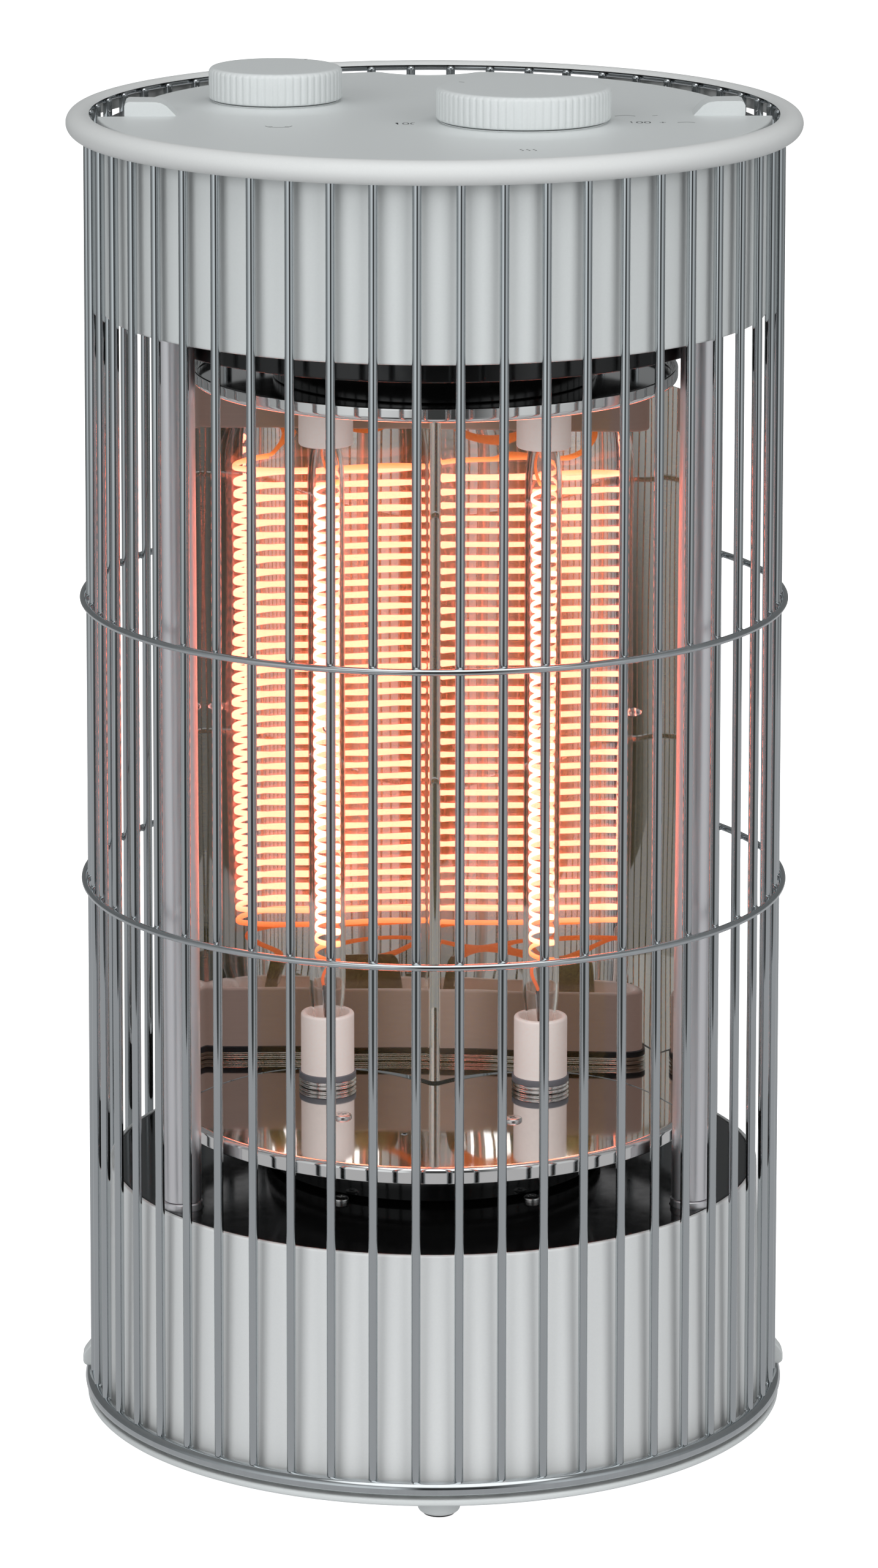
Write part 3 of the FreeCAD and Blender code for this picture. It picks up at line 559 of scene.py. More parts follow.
for x, y in feet:
    lathe(s, fillet([(0, 0), (5.7, 0), (5.7, 0.75), (0, 0.75)], [0, 0.3, 0, 0]), 48, x, y)
make("foot_rubbers", s, ["rubber_black"], "base", ["foot_pads"])

s = Shape()
lathe(s, fillet([(119.5, 12.05), (117.6, 98.3), (115.9, 98.3), (115.9, 96.0), (111.8, 96.0), (111.8, 92.5), (115.9, 92.5), (115.9, 12.05)],
                [0.4, 0.7, 0.3, 0, 0, 0, 0, 0]), 320)
for px in (-90.0, 90.0):
    lathe(s, fillet([(2.7, 72.0), (7.1, 72.0), (7.1, 100.85), (2.7, 100.85)], [0, 0, 0.45, 0]), 96, px, -60.4, mat=1)
make("base_drum_shell", s, ["base_white", "post_aluminium"], "base", ["base_drum"])

s = Shape()
lathe(s, fillet([(16.0, 96.0), (115.6, 96.0), (115.6, 98.2), (16.0, 98.2)], [0, 0.3, 0.4, 0.3]), 256)
plate = make("base_black_plate", s, ["black_gloss"], "base", ["base_top_plate"])
carve(plate, [lambda q: lathe(q, [(0, 90), (7.45, 90), (7.45, 105), (0, 105)], 64, -90.0, -60.4),
              lambda q: lathe(q, [(0, 90), (7.45, 90), (7.45, 105), (0, 105)], 64, 90.0, -60.4)])


def cross_screw(s, x, y, z, rot, head_r=3.0, head_h=1.8, up=1.0, shank=4.0):
    """Pan-head screw with a cross recess."""
    prof = [(0, 0)]
    verts, faces = [], []
    hw, hl, dp = 0.34, 1.65, 0.8
    seg = 48
    dome = []
    for i in range(7):
        t = math.radians(90.0 * i / 6)
        dome.append((head_r - 0.9 + 0.9 * math.cos(t), head_h - 0.9 + 0.9 * math.sin(t)))
    body = [(1.5, -shank), (1.5, 0.0), (head_r, 0.0)] + dome
    n0 = 0
    for r, h in body:
        for k in range(seg):
            a = 2 * math.pi * k / seg
            verts.append((r * math.cos(a), r * math.sin(a), h))
    for i in range(len(body) - 1):
        for k in range(seg):
            j = (k + 1) % seg
            faces.append((i * seg + k, i * seg + j, (i + 1) * seg + j, (i + 1) * seg + k))
    faces.append(tuple(range(seg)))
    # flat top round the cross, then the recess walls and floor
    cross = [(hw, hw), (hw, hl), (-hw, hl), (-hw, hw), (-hl, hw), (-hl, -hw), (-hw, -hw), (-hw, -hl), (hw, -hl), (hw, -hw), (hl, -hw), (hl, hw)]
    b0 = len(verts)
    for cx, cy in cross:
        verts.append((cx, cy, head_h))
    b1 = len(verts)
    for cx, cy in cross:
        verts.append((cx * 0.75, cy * 0.75, head_h - dp))
    for i in range(12):
        j = (i + 1) % 12
        faces.append((b0 + i, b0 + j, b1 + j, b1 + i))
    faces.append(tuple(b1 + i for i in range(12)))
    last = (len(body) - 1) * seg
    # bridge the round edge to the cross by nearest angles
    ca = sorted((math.atan2(cy, cx) % (2 * math.pi), i) for i, (cx, cy) in enumerate(cross))
    order = [i for _, i in ca]
    angs = [a for a, _ in ca]
    m = 12

    def near(k):
        a = 2 * math.pi * k / seg
        best = min(range(m), key=lambda q: abs((angs[q] - a + math.pi) % (2 * math.pi) - math.pi))
        return best
    for k in range(seg):
        j = (k + 1) % seg
        p, q = near(k), near(j)
        if p == q:
            faces.append((last + k, last + j, b0 + order[p]))
        else:
            faces.append((last + k, last + j, b0 + order[q]))
            c = p
            while c != q:
                d = (c + 1) % m
                faces.append((last + k, b0 + order[d], b0 + order[c]))
                c = d
    at = Matrix.Translation(Vector((x, y, z))) @ Matrix.Rotation(rot, 4, "Z") @ Matrix.Diagonal(Vector((1, 1, up, 1)))
    return s.add(verts, faces, 0, at)


s = Shape()
for i, (x, y) in enumerate(((34.0, -55.5), (-34.0, -55.5), (34.0, 55.5), (-34.0, 55.5))):
    cross_screw(s, x, y, 98.2, 0.5 + 0.9 * i)
make("plate_screw_set", s, ["screw_steel"], "base", ["plate_screws"])

for nm, px in (("left_post", -90.0), ("right_post", 90.0)):
    s = Shape()
    lathe(s, fillet([(6.7, 101.05), (6.7, 411.9), (5.4, 411.9), (5.4, 101.05)], [0.35, 0.35, 0, 0]), 96, px, -60.4)
    make(nm + "_sleeve", s, ["post_aluminium"], "base", [nm])

# --------------------------------------------------------------- control drum
s = Shape()
lathe(s, fillet([(117.1, 410.5), (117.1, 472.0), (115.4, 472.0), (115.4, 410.5)], [0.7, 0.5, 0, 0.4]), 320)
make("control_drum_shell", s, ["drum_white"], "base", ["top_drum"])
s = Shape()
lathe(s, fillet([(9.0, 412.0), (98.4, 412.0), (98.4, 401.5), (100.4, 401.5), (100.4, 412.0), (115.1, 412.0), (115.1, 414.5), (9.0, 414.5)],
                [0.3, 0.6, 0.5, 0.5, 0.6, 0.4, 0, 0]), 256)
make("control_under_plate", s, ["black_gloss"], "base", ["top_under_plate"])
s = Shape()
for i, a in enumerate((-90, 30, 150)):
    x, y = polar(111.0, a)
    cross_screw(s, x, y, 412.0, 0.4 + i, head_r=2.9, up=-1.0)
make("under_plate_screw_set", s, ["screw_steel"], "base", ["under_plate_screws"])
s = Shape()
lathe(s, fillet([(0, 472.0), (117.0, 472.0), (117.0, 474.0), (0, 474.0)], [0, 0.3, 0.5, 0]), 256)
make("chassis_plate_sheet", s, ["chassis_steel"], "base", ["top_chassis_plate"])

# control panel
P_Z = 479.0


def panel_outline(z, inset):
    pts = []
    R, Rr, ys = 117.9 - inset, 106.5 - inset, -9.5 - inset
    a0 = math.degrees(math.asin(ys / R))
    for i in range(241):
        a = (180 - a0) + (180 + 2 * a0) * i / 240
        pts.append(polar(R, a))
    b0 = math.degrees(math.asin((ys + 0.0) / Rr))
    c = math.sqrt(max(0.0, 900.0 - (499.0 - z) ** 2)) + inset
    for i in range(241):
        a = b0 + (180 - 2 * b0) * i / 240
        d = math.radians(a - 90)
        r = Rr
        q = 118.5 * math.sin(d)
        if abs(d) < 0.6 and abs(q) < c:
            r = min(r, 118.5 * math.cos(d) - math.sqrt(c * c - q * q))
        pts.append(polar(r, a))
    return pts


s = Shape()
lv = [(474.05, 0.0), (478.3, 0.0), (478.55, 0.06), (478.78, 0.22), (478.94, 0.48), (479.0, 0.8), (479.0, 1.1)]
rows, verts, faces = [], [], []
for z, ins in lv:
    o = panel_outline(z, ins)
    rows.append(len(verts))
    verts += [(x, y, z) for x, y in o]
n = len(o)
for a, b in zip(rows, rows[1:]):
    for i in range(n):
        j = (i + 1) % n
        faces.append((a + i, a + j, b + j, b + i))
faces.append(tuple(rows[-1] + i for i in range(n)))
faces.append(tuple(rows[0] + i for i in reversed(range(n))))
s.add(verts, faces)
DIALS = (("power", 30.0, -31.7, 30.2), ("swing", -55.6, 20.1, 23.5))
for nm, x, y, r in DIALS:
    pf = [(3.1, 478.2), (r + 9.5, 478.2), (r + 9.0, 479.0)]
    # flared boss: a smooth concave sweep up to the collar
    for i in range(1, 15):
        t = i / 14.0
        pf.append((r + 9.0 - 8.6 * t, 479.0 + 1.35 * (t ** 2.2)))
    pf += [(r - 0.1, 480.45), (r - 0.9, 480.5), (r - 1.25, 480.55), (r - 1.3, 480.8), (3.1, 480.8)]
    lathe(s, pf, 160, x, y)
for sx in (-1, 1):
    pr = [(89.6, 478.6), (91.4, 480.5), (93.3, 482.5), (95.2, 483.5), (97.5, 483.9), (106.4, 484.0), (107.5, 483.5), (108.0, 482.4), (108.0, 474.05),
          (103.0, 474.05), (103.0, 478.6)]
    n = len(pr)
    vs = [(sx * a, -9.5, z) for a, z in pr] + [(sx * a, 3.0, z) for a, z in pr]
    fs = [tuple(range(n)), tuple(reversed(range(n, 2 * n)))] + [(i, (i + 1) % n, n + (i + 1) % n, n + i) for i in range(n)]
    s.add(vs, fs)
make("control_panel", s, ["white_plastic"], "base", ["top_panel"], sharp=34)

# dials with a ribbed skirt
for nm, x, y, r in DIALS:
    s = Shape()
    nrib = int(round(2 * math.pi * r / 2.75))
    per = 12
    seg = nrib * per
    prof = [(0.0, 481.25, 0), (r - 0.8, 481.25, 0), (r - 0.35, 481.4, 0.6), (r - 0.08, 481.8, 1), (r, 482.6, 1), (r, 489.6, 1)]
    for i in range(1, 9):
        t = math.radians(90 * i / 8)
        prof.append((r - 1.9 + 1.9 * math.cos(t), 490.5 + 1.9 * math.sin(t), max(0.0, 1 - i / 6.0)))
    prof += [(r - 4.0, 492.4, 0), (0.0, 492.4, 0)]
    verts, faces, rows = [], [], []
    for pr, pz, g in prof:
        if pr == 0.0:
            rows.append([len(verts)] * seg)
            verts.append((x, y, pz))
            continue
        rows.append(list(range(len(verts), len(verts) + seg)))
        for i in range(seg):
            a = 2 * math.pi * i / seg
            ph = abs(((i / per) % 1.0) - 0.5) * 2.0
            dip = 0.34 * g * max(0.0, math.cos(math.pi * min(1.0, (1 - ph) / 0.62) / 2)) ** 1.6
            verts.append((x + (pr - dip) * math.cos(a), y + (pr - dip) * math.sin(a), pz))
    for A, B in zip(rows, rows[1:]):
        for i in range(seg):
            j = (i + 1) % seg
            u = []
            for q in (A[i], A[j], B[j], B[i]):
                if q not in u:
                    u.append(q)
            faces.append(u)
    s.add(verts, faces)
    make(nm + "_dial_cap", s, ["white_plastic"], nm + "_dial", [nm + "_knob"], sharp=50)


# --------------------------------------------------------- printed panel marks
def stroke(s, pts, w, z, h=0.02):
    """A printed line: a thin raised band along the points."""
    P = [Vector((p[0], p[1], 0)) for p in pts]
    L, Rr = [], []
    for i in range(len(P)):
        t = (P[min(i + 1, len(P) - 1)] - P[max(i - 1, 0)]).normalized()
        nrm = Vector((-t.y, t.x, 0)) * (w / 2)
        L.append(P[i] + nrm)
        Rr.append(P[i] - nrm)
    prism(s, [(p.x, p.y) for p in Rr] + [(p.x, p.y) for p in reversed(L)], z, z + h)


def arc(cx, cy, r, a0, a1, n=14):
    return [(cx + r * math.cos(math.radians(a0 + (a1 - a0) * i / n)), cy + r * math.sin(math.radians(a0 + (a1 - a0) * i / n))) for i in range(n + 1)]


zt = 479.01
s = Shape()
# three heat waves in front of the power dial
for i in (-1, 0, 1):
    cx = 29.6 + 2.2 * i
    pts = [(cx + 0.55 * math.sin(2 * math.pi * t / 12.0), -92.6 + 3.2 * t / 12.0) for t in range(13)]
    stroke(s, pts, 0.35, zt)
# number marks beside the power dial


def oval(cx, cy, rx, ry):
    return [(cx + rx * math.cos(math.radians(a)), cy + ry * math.sin(math.radians(a))) for a in range(90, 451, 20)]


def number(s, x, y, w=2.0, h=4.2):
    stroke(s, [(x + 0.2, y + h * 0.75), (x + 0.9, y + h), (x + 0.9, y)], 0.42, zt)
    for k in (1, 2):
        stroke(s, oval(x + 0.9 + k * (w + 0.75), y + h / 2, w / 2, h / 2), 0.42, zt)


stroke(s, [(-3.9, -31.8), (-1.9, -31.8)], 0.5, zt)
number(s, -14.2, -30.6)
stroke(s, [(60.2, -28.0), (62.2, -28.0)], 0.5, zt)
number(s, 66.6, -28.6)
stroke(s, [(77.2, -26.6), (79.4, -26.6)], 0.42, zt)
stroke(s, [(78.3, -27.7), (78.3, -25.5)], 0.42, zt)
stroke(s, arc(86.4, -29.4, 3.6, 145, 35), 0.42, zt)
stroke(s, arc(66.0, -14.0, 4.6, 140, 40), 0.42, zt)
stroke(s, [(75.6, -10.4), (77.4, -9.6)], 0.45, zt)
# swing arc in front of the swing dial
stroke(s, arc(-54.3, -33.0, 4.6, 215, 325), 0.42, zt)
stroke(s, [(-58.9, -33.9), (-58.1, -35.7), (-56.4, -35.1)], 0.4, zt)
stroke(s, [(-49.7, -33.9), (-50.5, -35.7), (-52.2, -35.1)], 0.4, zt)
make("panel_print", s, ["print_grey"], "base")
for nm, mx, my, dx, dy in (("power", 8.9, -21.7, 30.0, -31.7), ("swing", -44.8, 37.7, -55.6, 20.1)):
    s = Shape()
    u = Vector((mx - dx, my - dy, 0)).normalized()
    stroke(s, [(mx - u.x * 1.0, my - u.y * 1.0), (mx + u.x * 1.0, my + u.y * 1.0)], 0.55, 492.4)
    make(nm + "_dial_mark", s, ["print_grey"], nm + "_dial")

# ---------------------------------------------------------------- heater head
TX, TY = 38.7, 3.0
DSCREW = [(-30.5, -37.7), (30.5, -37.7), (-30.5, 37.7), (30.5, 37.7)]
s = Shape()
lathe(s, fillet([(96.5, 117.3), (96.5, 123.3), (0, 123.3), (0, 122.1), (95.3, 122.1), (95.3, 117.3)], [0.5, 1.7, 0, 0, 0.5, 0.5], n=8), 288)
disc = make("lower_disc_mirror", s, ["mirror_sheet"], "head", ["bottom_disc"], yaw=YAW)
hx, hy = turn(-7.0, -57.0)
carve(disc, [lambda q: lathe(q, [(0, 118), (1.2, 118), (1.2, 130), (0, 130)], 24, hx, hy)])
s = Shape()
for i, (x, y) in enumerate(DSCREW):
    cross_screw(s, x, y, 123.3, 0.3 + 0.7 * i, head_r=3.5, head_h=1.15)
make("disc_screw_set", s, ["screw_steel"], "head", ["disc_screws"], yaw=YAW)
s = Shape()
lathe(s, fillet([(0, 384.9), (86.0, 384.9), (86.0, 390.0), (84.8, 390.0), (84.8, 386.1), (0, 386.1)], [0, 1.7, 0.5, 0.5, 0.5, 0], n=8), 288)
make("upper_disc_mirror", s, ["mirror_sheet"], "head", ["top_disc"], yaw=YAW)


VX, VY, EDGE = 38.9, 22.1, 87.5


def flank(x):
    """Angle of the sheet against the front, in degrees, at a distance x from the middle."""
    q = x - VX
    if q < 0:
        return 1.2104 * q + 0.0000161 * q ** 3
    return min(60.0, 1.2104 * q + 0.014543 * q * q - 0.0002394 * q ** 3)


def trough_line():
    """Front face of the double trough from left to right, with a rolled ridge in the middle."""
    st = 0.05
    outer, inner = [(VX, VY)], []
    x, y, k = VX, VY, 0
    while x < EDGE:
        y -= math.tan(math.radians(flank(x + st / 2))) * st
        x += st
        k += 1
        if k % 14 == 0 or x >= EDGE:
            outer.append((x, y))
    x, y, k = VX, VY, 0
    while x > 2.2:
        y += math.tan(math.radians(flank(x - st / 2))) * st
        x -= st
        k += 1
        if k % 14 == 0 or x <= 2.2:
            inner.append((x, y))
    right = list(reversed(inner)) + outer
    x0, y0 = right[0]
    # rolled ridge: a circle tangent to both flanks, centred on the mirror line
    th = -math.radians(flank(x0))
    rr = x0 / math.sin(th)
    cy = y0 + rr * math.cos(th)
    nose = []
    for i in range(1, 16):
        a = -th + 2 * th * i / 16
        nose.append((rr * math.sin(a), cy - rr * math.cos(a)))
    left, drop = [], 0.0
    for i, (x, y) in enumerate(right):
        if i and x > 56.0:
            drop += math.radians(1.6) * min(1.0, (x - 56.0) / 10.0) * 1.9 * (x - right[i - 1][0])
        left.append((-x, y - drop))
    return list(reversed(left)) + nose + right


def foot_gap(x):
    """Clearance between the sheet and the disc below it, widest at the ridge."""
    return 0.22 + 0.62 * math.exp(-(x / 21.0) ** 2)


line = trough_line()
s = Shape()
nz = 36
verts, faces = [], []
n = len(line)
for side in (0, 1):
    for k in range(nz + 1):
        for x, y in line:
            z = 123.3 + 261.6 * k / nz + foot_gap(x) * (1 - k / nz)
            w = 0.05 * math.sin(0.045 * z + 0.11 * x) * math.sin(0.083 * x + 1.3)
            verts.append((x, y + w + (0.8 if side else 0.0), z))
m = (nz + 1) * n
for k in range(nz):
    for i in range(n - 1):
        a = k * n + i
        faces.append((a, a + 1, a + 1 + n, a + n))
        faces.append((m + a, m + a + n, m + a + 1 + n, m + a + 1))
    for i in (0, n - 1):
        a = k * n + i
        faces.append((a, a + n, m + a + n, m + a))
for i in range(n - 1):
    for k in (0, nz):
        a = k * n + i
        faces.append((a, m + a, m + a + 1, a + 1))
s.add(verts, faces)
make("reflector_trough", s, ["reflector_sheet"], "head", ["reflector"], yaw=YAW, sharp=40)

# quartz envelopes with the sealed-off pip at the back
for nm, tx in (("left", -TX), ("right", TX)):
    s = Shape()
    wall = [(4.7, 138.0), (4.75, 143.0), (4.95, 146.5), (5.4, 149.8), (5.95, 153.0), (6.35, 156.2), (6.55, 159.5), (6.6, 163.0),
            (6.6, 345.0), (6.55, 348.5), (6.35, 352.0), (5.95, 355.5), (5.4, 359.0), (4.95, 362.5), (4.75, 366.0), (4.7, 371.0)]
    lathe(s, wall + [(r - 1.0, z) for r, z in reversed(wall)], 96, tx, TY)
    pp = []
    for i in range(9):
        t = i / 8.0
        pp.append((tx, TY + 6.3 + 2.5 * t, 255.0))
    rad = [2.1, 1.9, 1.65, 1.5, 1.4, 1.3, 1.1, 0.75, 0.15]
    sweep(s, pp, rad, 20)
    q = make(nm + "_quartz_tube", s, ["quartz"], "head", ["quartz_tubes"], yaw=YAW)
    q.visible_shadow = False

# carbon ribbon coils, wound a little wider at both ends
Z0, Z1 = 168.2, 348.0
for nm, tx, ph, TURNS in (("left", -TX, 0.4, 38.2), ("right", TX, 2.0, 35.6)):
    s = Shape()
    per = 44
    cnt = int(TURNS * per) + 1
    half = 0.98 if nm == "left" else 0.90
    wt = []
    for i in range(cnt):
        k = min(i, cnt - 1 - i) / per
        wt.append(1.42 - 0.42 * min(1.0, max(0.0, (k - 0.8) / 0.6)))
    cum = [0.0]
    for i in range(1, cnt):
        cum.append(cum[-1] + 0.5 * (wt[i] + wt[i - 1]))
    verts, faces = [], []
    for i in range(cnt):
        t = cum[i] / cum[-1]
        u = i / per
        a = ph - 2 * math.pi * u
        z = Z0 + 1.0 + (Z1 - Z0 - 2.0) * t + 0.16 * math.sin(1.7 * u) * math.sin(0.43 * u + 1.0)
        wob = 1.0 + 0.02 * math.sin(0.9 * u + ph) * math.sin(0.31 * u)
        ox = 0.25 * math.sin(0.21 * u + ph)
        for dr, dz in ((0.0, -half), (0.12, -half * 0.55), (0.12, half * 0.55), (0.0, half), (-0.28, half * 0.9), (-0.28, -half * 0.9)):
            rr = (4.55 + dr) * wob
            verts.append((tx + ox + rr * math.cos(a), TY + rr * math.sin(a), z + dz))
    for i in range(cnt - 1):
        for k in range(6):
            j = (k + 1) % 6
            faces.append((i * 6 + k, i * 6 + j, (i + 1) * 6 + j, (i + 1) * 6 + k))
    faces.append(tuple(range(6)))
    faces.append(tuple((cnt - 1) * 6 + k for k in reversed(range(6))))
    s.add(verts, faces)
    make(nm + "_carbon_coil", s, ["carbon_coil"], "head", ["filaments"], yaw=YAW, sharp=60)
    a1 = ph - 2 * math.pi * (cnt - 1) / per
    # glowing tails from the last turns, then dark crimps and steel stems
    s = Shape()
    a0 = ph
    ex, ey = tx + 4.5 * math.cos(a0), TY + 4.5 * math.sin(a0)
    pts = []
    for i in range(25):
        t = i / 24.0
        a = a0 + 2.6 * t
        q = 4.5 * (1 - t) ** 0.8
        pts.append((tx - 0.9 * t + q * math.cos(a), TY - 1.2 * t + q * math.sin(a), Z0 + 1.0 - 9.2 * t ** 1.3))
    sweep(s, pts, [0.70 - 0.15 * i / 24.0 for i in range(25)], 14)
    ex, ey = tx + 4.5 * math.cos(a1), TY + 4.5 * math.sin(a1)
    pts = []
    for i in range(25):
        t = i / 24.0
        a = a1 - 1.5 * t
        q = 4.5 * (1 - t) ** 0.55
        pts.append((tx - 0.6 * t + q * math.cos(a), TY - 0.8 * t + q * math.sin(a), Z1 - 1.0 + 13.0 * t ** 1.1))
    sweep(s, pts, [0.58 - 0.18 * i / 24.0 for i in range(25)], 14)
    make(nm + "_coil_tails", s, ["carbon_coil"], "head", ["filaments"], yaw=YAW)
    s = Shape()
    lo = [(tx - 0.9 + 1.0 * k / 8.0, TY - 1.2 + 1.2 * k / 8.0, 161.0 - 15.0 * k / 8.0) for k in range(9)]
    sweep(s, lo, [0.7, 1.0, 1.05, 1.05, 1.05, 1.05, 1.05, 1.0, 0.8], 18, 1)
    sweep(s, [(x - 0.85, y - 0.55, z) for x, y, z in lo[1:7]], 0.32, 10)
    sweep(s, [(tx + 0.1, TY, 147.0), (tx, TY, 140.0), (tx, TY, 129.0)], 0.7, 14)
    hi_l = [(tx - 0.6 + 0.6 * k / 6.0, TY - 0.8 + 0.8 * k / 6.0, 359.0 + 8.0 * k / 6.0) for k in range(7)]
    sweep(s, hi_l, [0.7, 1.0, 1.05, 1.05, 1.05, 1.0, 0.8], 18, 1)
    sweep(s, [(tx, TY, 366.0), (tx, TY, 372.0), (tx, TY, 380.0)], 0.7, 14)
    make(nm + "_tube_leads", s, ["screw_steel", "crimp_dark"], "head", ["filament_leads"], yaw=YAW)

s = Shape()
for tx in (-TX, TX):
    lathe(s, fillet([(1.0, 127.5), (9.65, 127.5), (9.65, 150.6), (7.7, 150.6), (7.7, 137.0), (1.0, 137.0)], [0, 0.3, 1.0, 0.7, 0.6, 0]), 96, tx, TY)
make("lower_ceramic_pair", s, ["ceramic_white"], "head", ["lower_ceramics"], yaw=YAW)
s = Shape()
for tx in (-TX, TX):
    lathe(s, fillet([(7.7, 359.8), (9.7, 359.8), (9.7, 384.8), (1.0, 384.8), (1.0, 373.0), (7.7, 373.0)], [0.6, 1.0, 0.2, 0, 0, 0.4]), 96, tx, TY)
make("upper_ceramic_pair", s, ["ceramic_white"], "head", ["upper_ceramics"], yaw=YAW)
s = Shape()
for tx in (-TX, TX):
    lathe(s, fillet([(5.0, 123.35), (9.6, 123.35), (9.6, 126.4), (5.0, 126.4)], [0, 0.2, 0.2, 0]), 80, tx, TY)
    for z in (124.15, 125.65):
        ring(s, 9.75, 0.72, z, 96, 18, 0, tx, TY)
    lathe(s, fillet([(9.68, 126.2), (10.35, 126.2), (10.35, 128.5), (9.68, 128.5)], [0, 0.3, 0.3, 0]), 96, tx, TY, mat=1)
make("lower_ferrule_pair", s, ["ferrule_steel", "washer_grey"], "head", ["lower_ferrules"], yaw=YAW)

# black turntable dome and neck
s = Shape()
prof = [(12.1, 99.6), (18.0, 99.6), (18.0, 118.0), (48.5, 118.0), (57.0, 111.0), (58.4, 103.0), (58.4, 99.6), (60.6, 99.6), (61.0, 100.0)]
for i in range(21):
    t = math.radians(90.0 * i / 20)
    prof.append((52.0 + 9.0 * math.cos(t), 103.6 + 14.0 * math.sin(t)))
prof += [(52.0, 122.0), (12.1, 122.0)]
lathe(s, prof, 224)
make("turntable_dome", s, ["black_gloss"], "head", ["turntable"], yaw=YAW, sharp=40)
s = Shape()
lathe(s, fillet([(5.1, 386.15), (57.0, 386.15), (57.0, 411.0), (5.1, 411.0)], [0, 0.5, 0.6, 0]), 224)
make("neck_drum", s, ["black_gloss"], "head", ["neck"], yaw=YAW)

# ------------------------------------------ CAD nodes that stay: their finishes
slots = {sp["node"]: sp["material_slot"] for sp in frame["record"]["subparts"]}
for nm, ob in frame["nodes"].items():
    if ob.type == "MESH":
        ob.data.materials.clear()
        ob.data.materials.append(M[slots.get(nm, "black_plastic")])

# -------------------------------------------------------------------- the set
def plane(name, x0, x1, y0, y1, z, mat):
    me = bpy.data.meshes.new(name)
    me.from_pydata([(x0, y0, z), (x1, y0, z), (x1, y1, z), (x0, y1, z)], [], [(0, 1, 2, 3)])
    me.materials.append(mat)
    ob = bpy.data.objects.new(name, me)
    sc.collection.objects.link(ob)
    return ob


def lit(name, color, strength, base=0.0):
    m, nt, p = new_mat(name)
    tc = node(nt, "ShaderNodeTexCoord")
    nz = node(nt, "ShaderNodeTexNoise")
    nz.inputs["Scale"].default_value = 3.0
    nt.links.new(tc.outputs["Object"], nz.inputs["Vector"])
    cr = ramp(nt, [(0.3, [c * 0.99 for c in color]), (0.7, color)])
    nt.links.new(nz.outputs["Fac"], cr.inputs["Fac"])
    nt.links.new(cr.outputs["Color"], p.inputs["Emission Color"])
    p.inputs["Base Color"].default_value = (base, base, base, 1)
    p.inputs["Roughness"].default_value = 0.9
    p.inputs["Specular IOR Level"].default_value = 0.0
    p.inputs["Emission Strength"].default_value = strength
    return m


floor = plane("studio_floor", -60, 60, -60, 60, -0.0004, lit("floor_m", (1.0, 1.0, 1.0), 1.0, 0.8))
floor.visible_glossy = False
floor.visible_diffuse = False
floor.visible_transmission = False
floor.visible_shadow = False
table = plane("studio_table", -1.3, 1.3, -0.66, 1.3, -0.0010, lit("table_m", (0.97, 0.98, 1.0), 0.50))
table.visible_camera = False
table.visible_shadow = False


def softbox(name, loc, aim, sx, sy, watts, color=(1, 1, 1)):
    l = bpy.data.lights.new(name, "AREA")
    l.shape, l.size, l.size_y, l.energy, l.color = "RECTANGLE", sx, sy, watts, color
    ob = bpy.data.objects.new(name, l)
    ob.location = loc
    ob.rotation_euler = (Vector(aim) - Vector(loc)).to_track_quat("-Z", "Y").to_euler()
    sc.collection.objects.link(ob)
    ob.visible_glossy = False
    ob.visible_camera = False
    return ob


softbox("key_left", (-1.25, -1.75, 0.95), (0, 0, 0.26), 1.3, 1.5, 15.5, (1.0, 1.0, 1.0))
softbox("key_right", (1.25, -1.75, 0.95), (0, 0, 0.26), 1.3, 1.5, 15.5, (1.0, 1.0, 1.0))
softbox("top_fill", (0.0, -0.3, 2.2), (0, 0, 0.3), 1.8, 1.8, 3.0, (1.0, 1.0, 1.0))

# surroundings seen in the chrome: dim room, tall light panels to both sides
w = bpy.data.worlds.new("studio")
sc.world = w
w.use_nodes = True
nt = w.node_tree
bg = nt.nodes["Background"]
tc = node(nt, "ShaderNodeTexCoord")
sx = node(nt, "ShaderNodeSeparateXYZ")
neg = node(nt, "ShaderNodeMath", operation="MULTIPLY")
neg.inputs[1].default_value = -1.0
at = node(nt, "ShaderNodeMath", operation="ARCTAN2")
mr = node(nt, "ShaderNodeMapRange")
mr.inputs["From Min"].default_value = -math.pi
mr.inputs["From Max"].default_value = math.pi
nt.links.new(tc.outputs["Generated"], sx.inputs["Vector"])
nt.links.new(sx.outputs["Y"], neg.inputs[0])
nt.links.new(sx.outputs["X"], at.inputs[0])
nt.links.new(neg.outputs["Value"], at.inputs[1])
nt.links.new(at.outputs["Value"], mr.inputs["Value"])


def az(d):
    return (d + 180.0) / 360.0


hi_band = [(-180, 0.17), (-134, 0.18), (-97, 0.23), (-71, 0.47), (-50, 0.72), (-32, 0.95), (-14, 0.85), (-5, 0.05), (16, 0.05), (27, 0.30), (40, 0.74),
           (58, 0.62), (75, 0.42), (97, 0.25), (134, 0.18), (180, 0.17)]
lo_band = [(-180, 0.16), (-134, 0.17), (-105, 0.28), (-85, 0.42), (-62, 0.62), (-42, 0.56), (-28, 0.18), (-19, 0.05), (13, 0.05), (23, 0.26), (38, 0.52),
           (56, 0.46), (75, 0.29), (105, 0.20), (134, 0.16), (180, 0.16)]
hi = ramp(nt, [(az(d), (v * 0.96, v, v * 1.02)) for d, v in hi_band])
lo = ramp(nt, [(az(d), (v * 0.97, v, v * 1.01)) for d, v in lo_band])
nt.links.new(mr.outputs["Result"], hi.inputs["Fac"])
nt.links.new(mr.outputs["Result"], lo.inputs["Fac"])


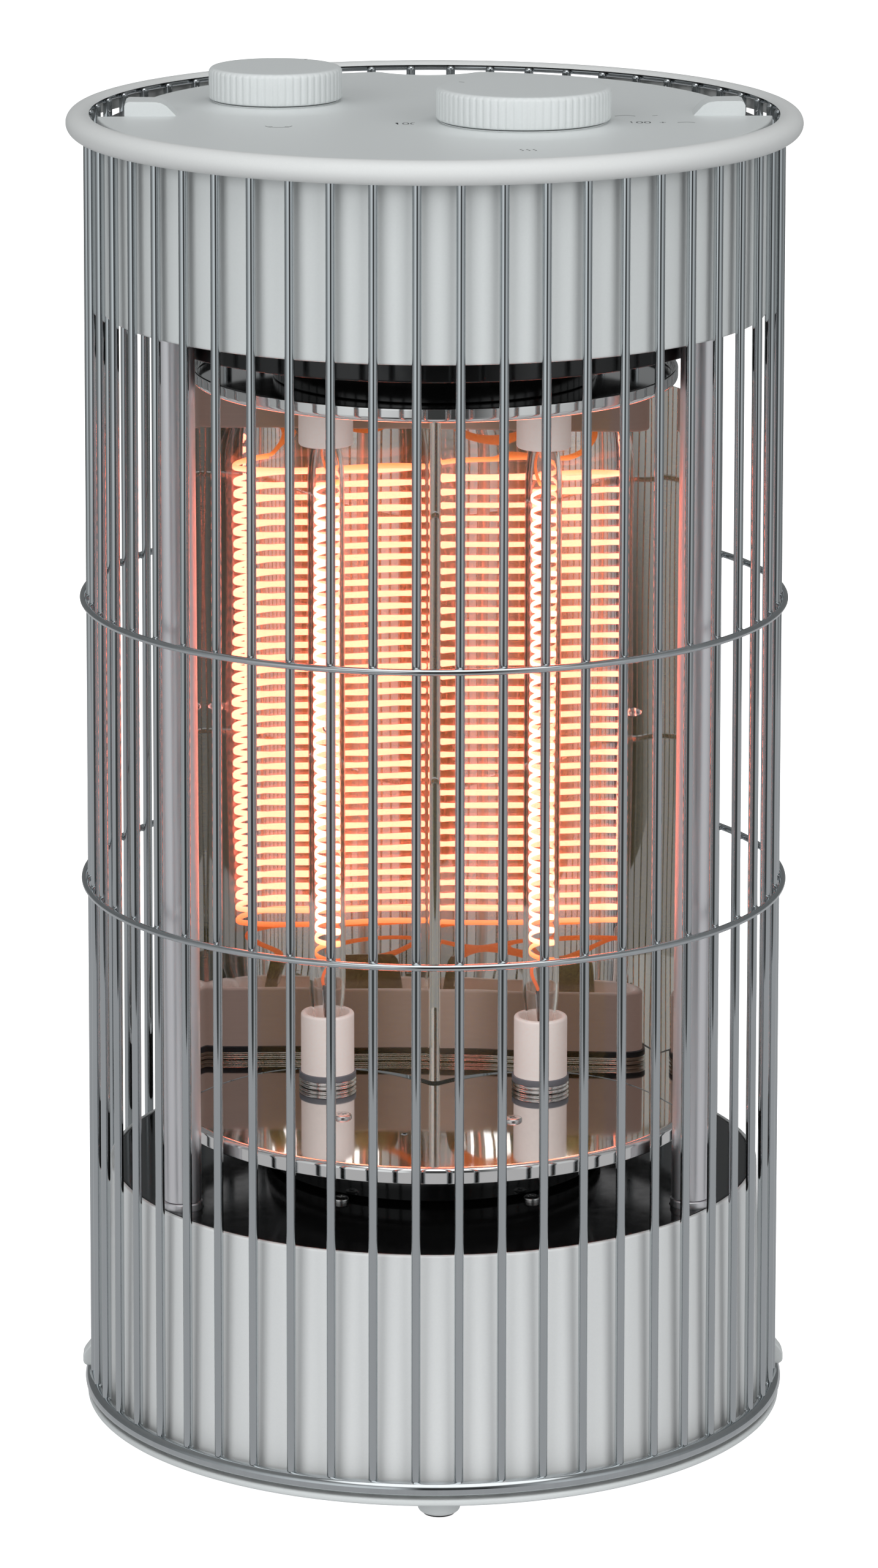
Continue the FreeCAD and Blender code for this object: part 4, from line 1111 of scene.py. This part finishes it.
def blend_world(a, b, fac):
    mx = node(nt, "ShaderNodeMix", data_type="RGBA")
    nt.links.new(fac, mx.inputs["Factor"])
    nt.links.new(a, mx.inputs[6])
    if isinstance(b, tuple):
        mx.inputs[7].default_value = b
    else:
        nt.links.new(b, mx.inputs[7])
    return mx.outputs[2]


def smooth_range(src, a, b):
    n = node(nt, "ShaderNodeMapRange", interpolation_type="SMOOTHSTEP")
    n.inputs["From Min"].default_value = a
    n.inputs["From Max"].default_value = b
    nt.links.new(src, n.inputs["Value"])
    return n.outputs["Result"]


sides = blend_world(lo.outputs["Color"], hi.outputs["Color"], smooth_range(sx.outputs["Z"], -0.235, -0.165))
room = blend_world(sides, (0.24, 0.245, 0.245, 1), smooth_range(sx.outputs["Z"], 0.30, 0.75))
# light panel above the front
dot = node(nt, "ShaderNodeVectorMath", operation="DOT_PRODUCT")
dot.inputs[1].default_value = Vector((0.05, -0.42, 0.91)).normalized()
nt.links.new(tc.outputs["Generated"], dot.inputs[0])
full = blend_world(room, (1.75, 1.77, 1.78, 1), smooth_range(dot.outputs["Value"], 0.86, 0.93))
nt.links.new(full, bg.inputs["Color"])
bg.inputs["Strength"].default_value = 1.0

# --------------------------------------------------------------------- camera
cam = bpy.data.cameras.new("photo_camera")
cam.sensor_fit = "AUTO"
cam.sensor_width = 36.0
cam.lens = 143.126
co = bpy.data.objects.new("photo_camera", cam)
sc.collection.objects.link(co)
r = Vector((0.999786, -0.020655, 0.001411))
u = Vector((0.003703, 0.24549, 0.969392))
d = Vector((0.02037, 0.969179, -0.245514))
loc = Vector((-0.04365763, -2.16658703, 0.78582858))
co.matrix_world = Matrix(((r.x, u.x, -d.x, loc.x), (r.y, u.y, -d.y, loc.y), (r.z, u.z, -d.z, loc.z), (0, 0, 0, 1)))
cam.clip_end = 200.0
sc.camera = co

sc.view_settings.view_transform = "Standard"
sc.view_settings.look = "None"
cy = sc.cycles
cy.max_bounces = 24
cy.glossy_bounces = 14
cy.transmission_bounces = 20
cy.transparent_max_bounces = 32
cy.diffuse_bounces = 4
cy.caustics_reflective = False
cy.caustics_refractive = False
cy.blur_glossy = 0.0
cy.sample_clamp_indirect = 6.0
cy.use_denoising = True

# soft lens glow round the lit coils
sc.use_nodes = True
ct = sc.node_tree
for nn in list(ct.nodes):
    ct.nodes.remove(nn)
rl = ct.nodes.new("CompositorNodeRLayers")
gl = ct.nodes.new("CompositorNodeGlare")
gl.glare_type = "FOG_GLOW"
gl.quality = "HIGH"
for key, val in (("Threshold", 1.0), ("Strength", 0.15), ("Size", 0.03), ("Saturation", 1.0), ("Tint", (1.0, 0.8, 0.6, 1.0))):
    if key in gl.inputs:
        gl.inputs[key].default_value = val
cp = ct.nodes.new("CompositorNodeComposite")
ct.links.new(rl.outputs["Image"], gl.inputs["Image"])
ct.links.new(gl.outputs["Image"], cp.inputs["Image"])
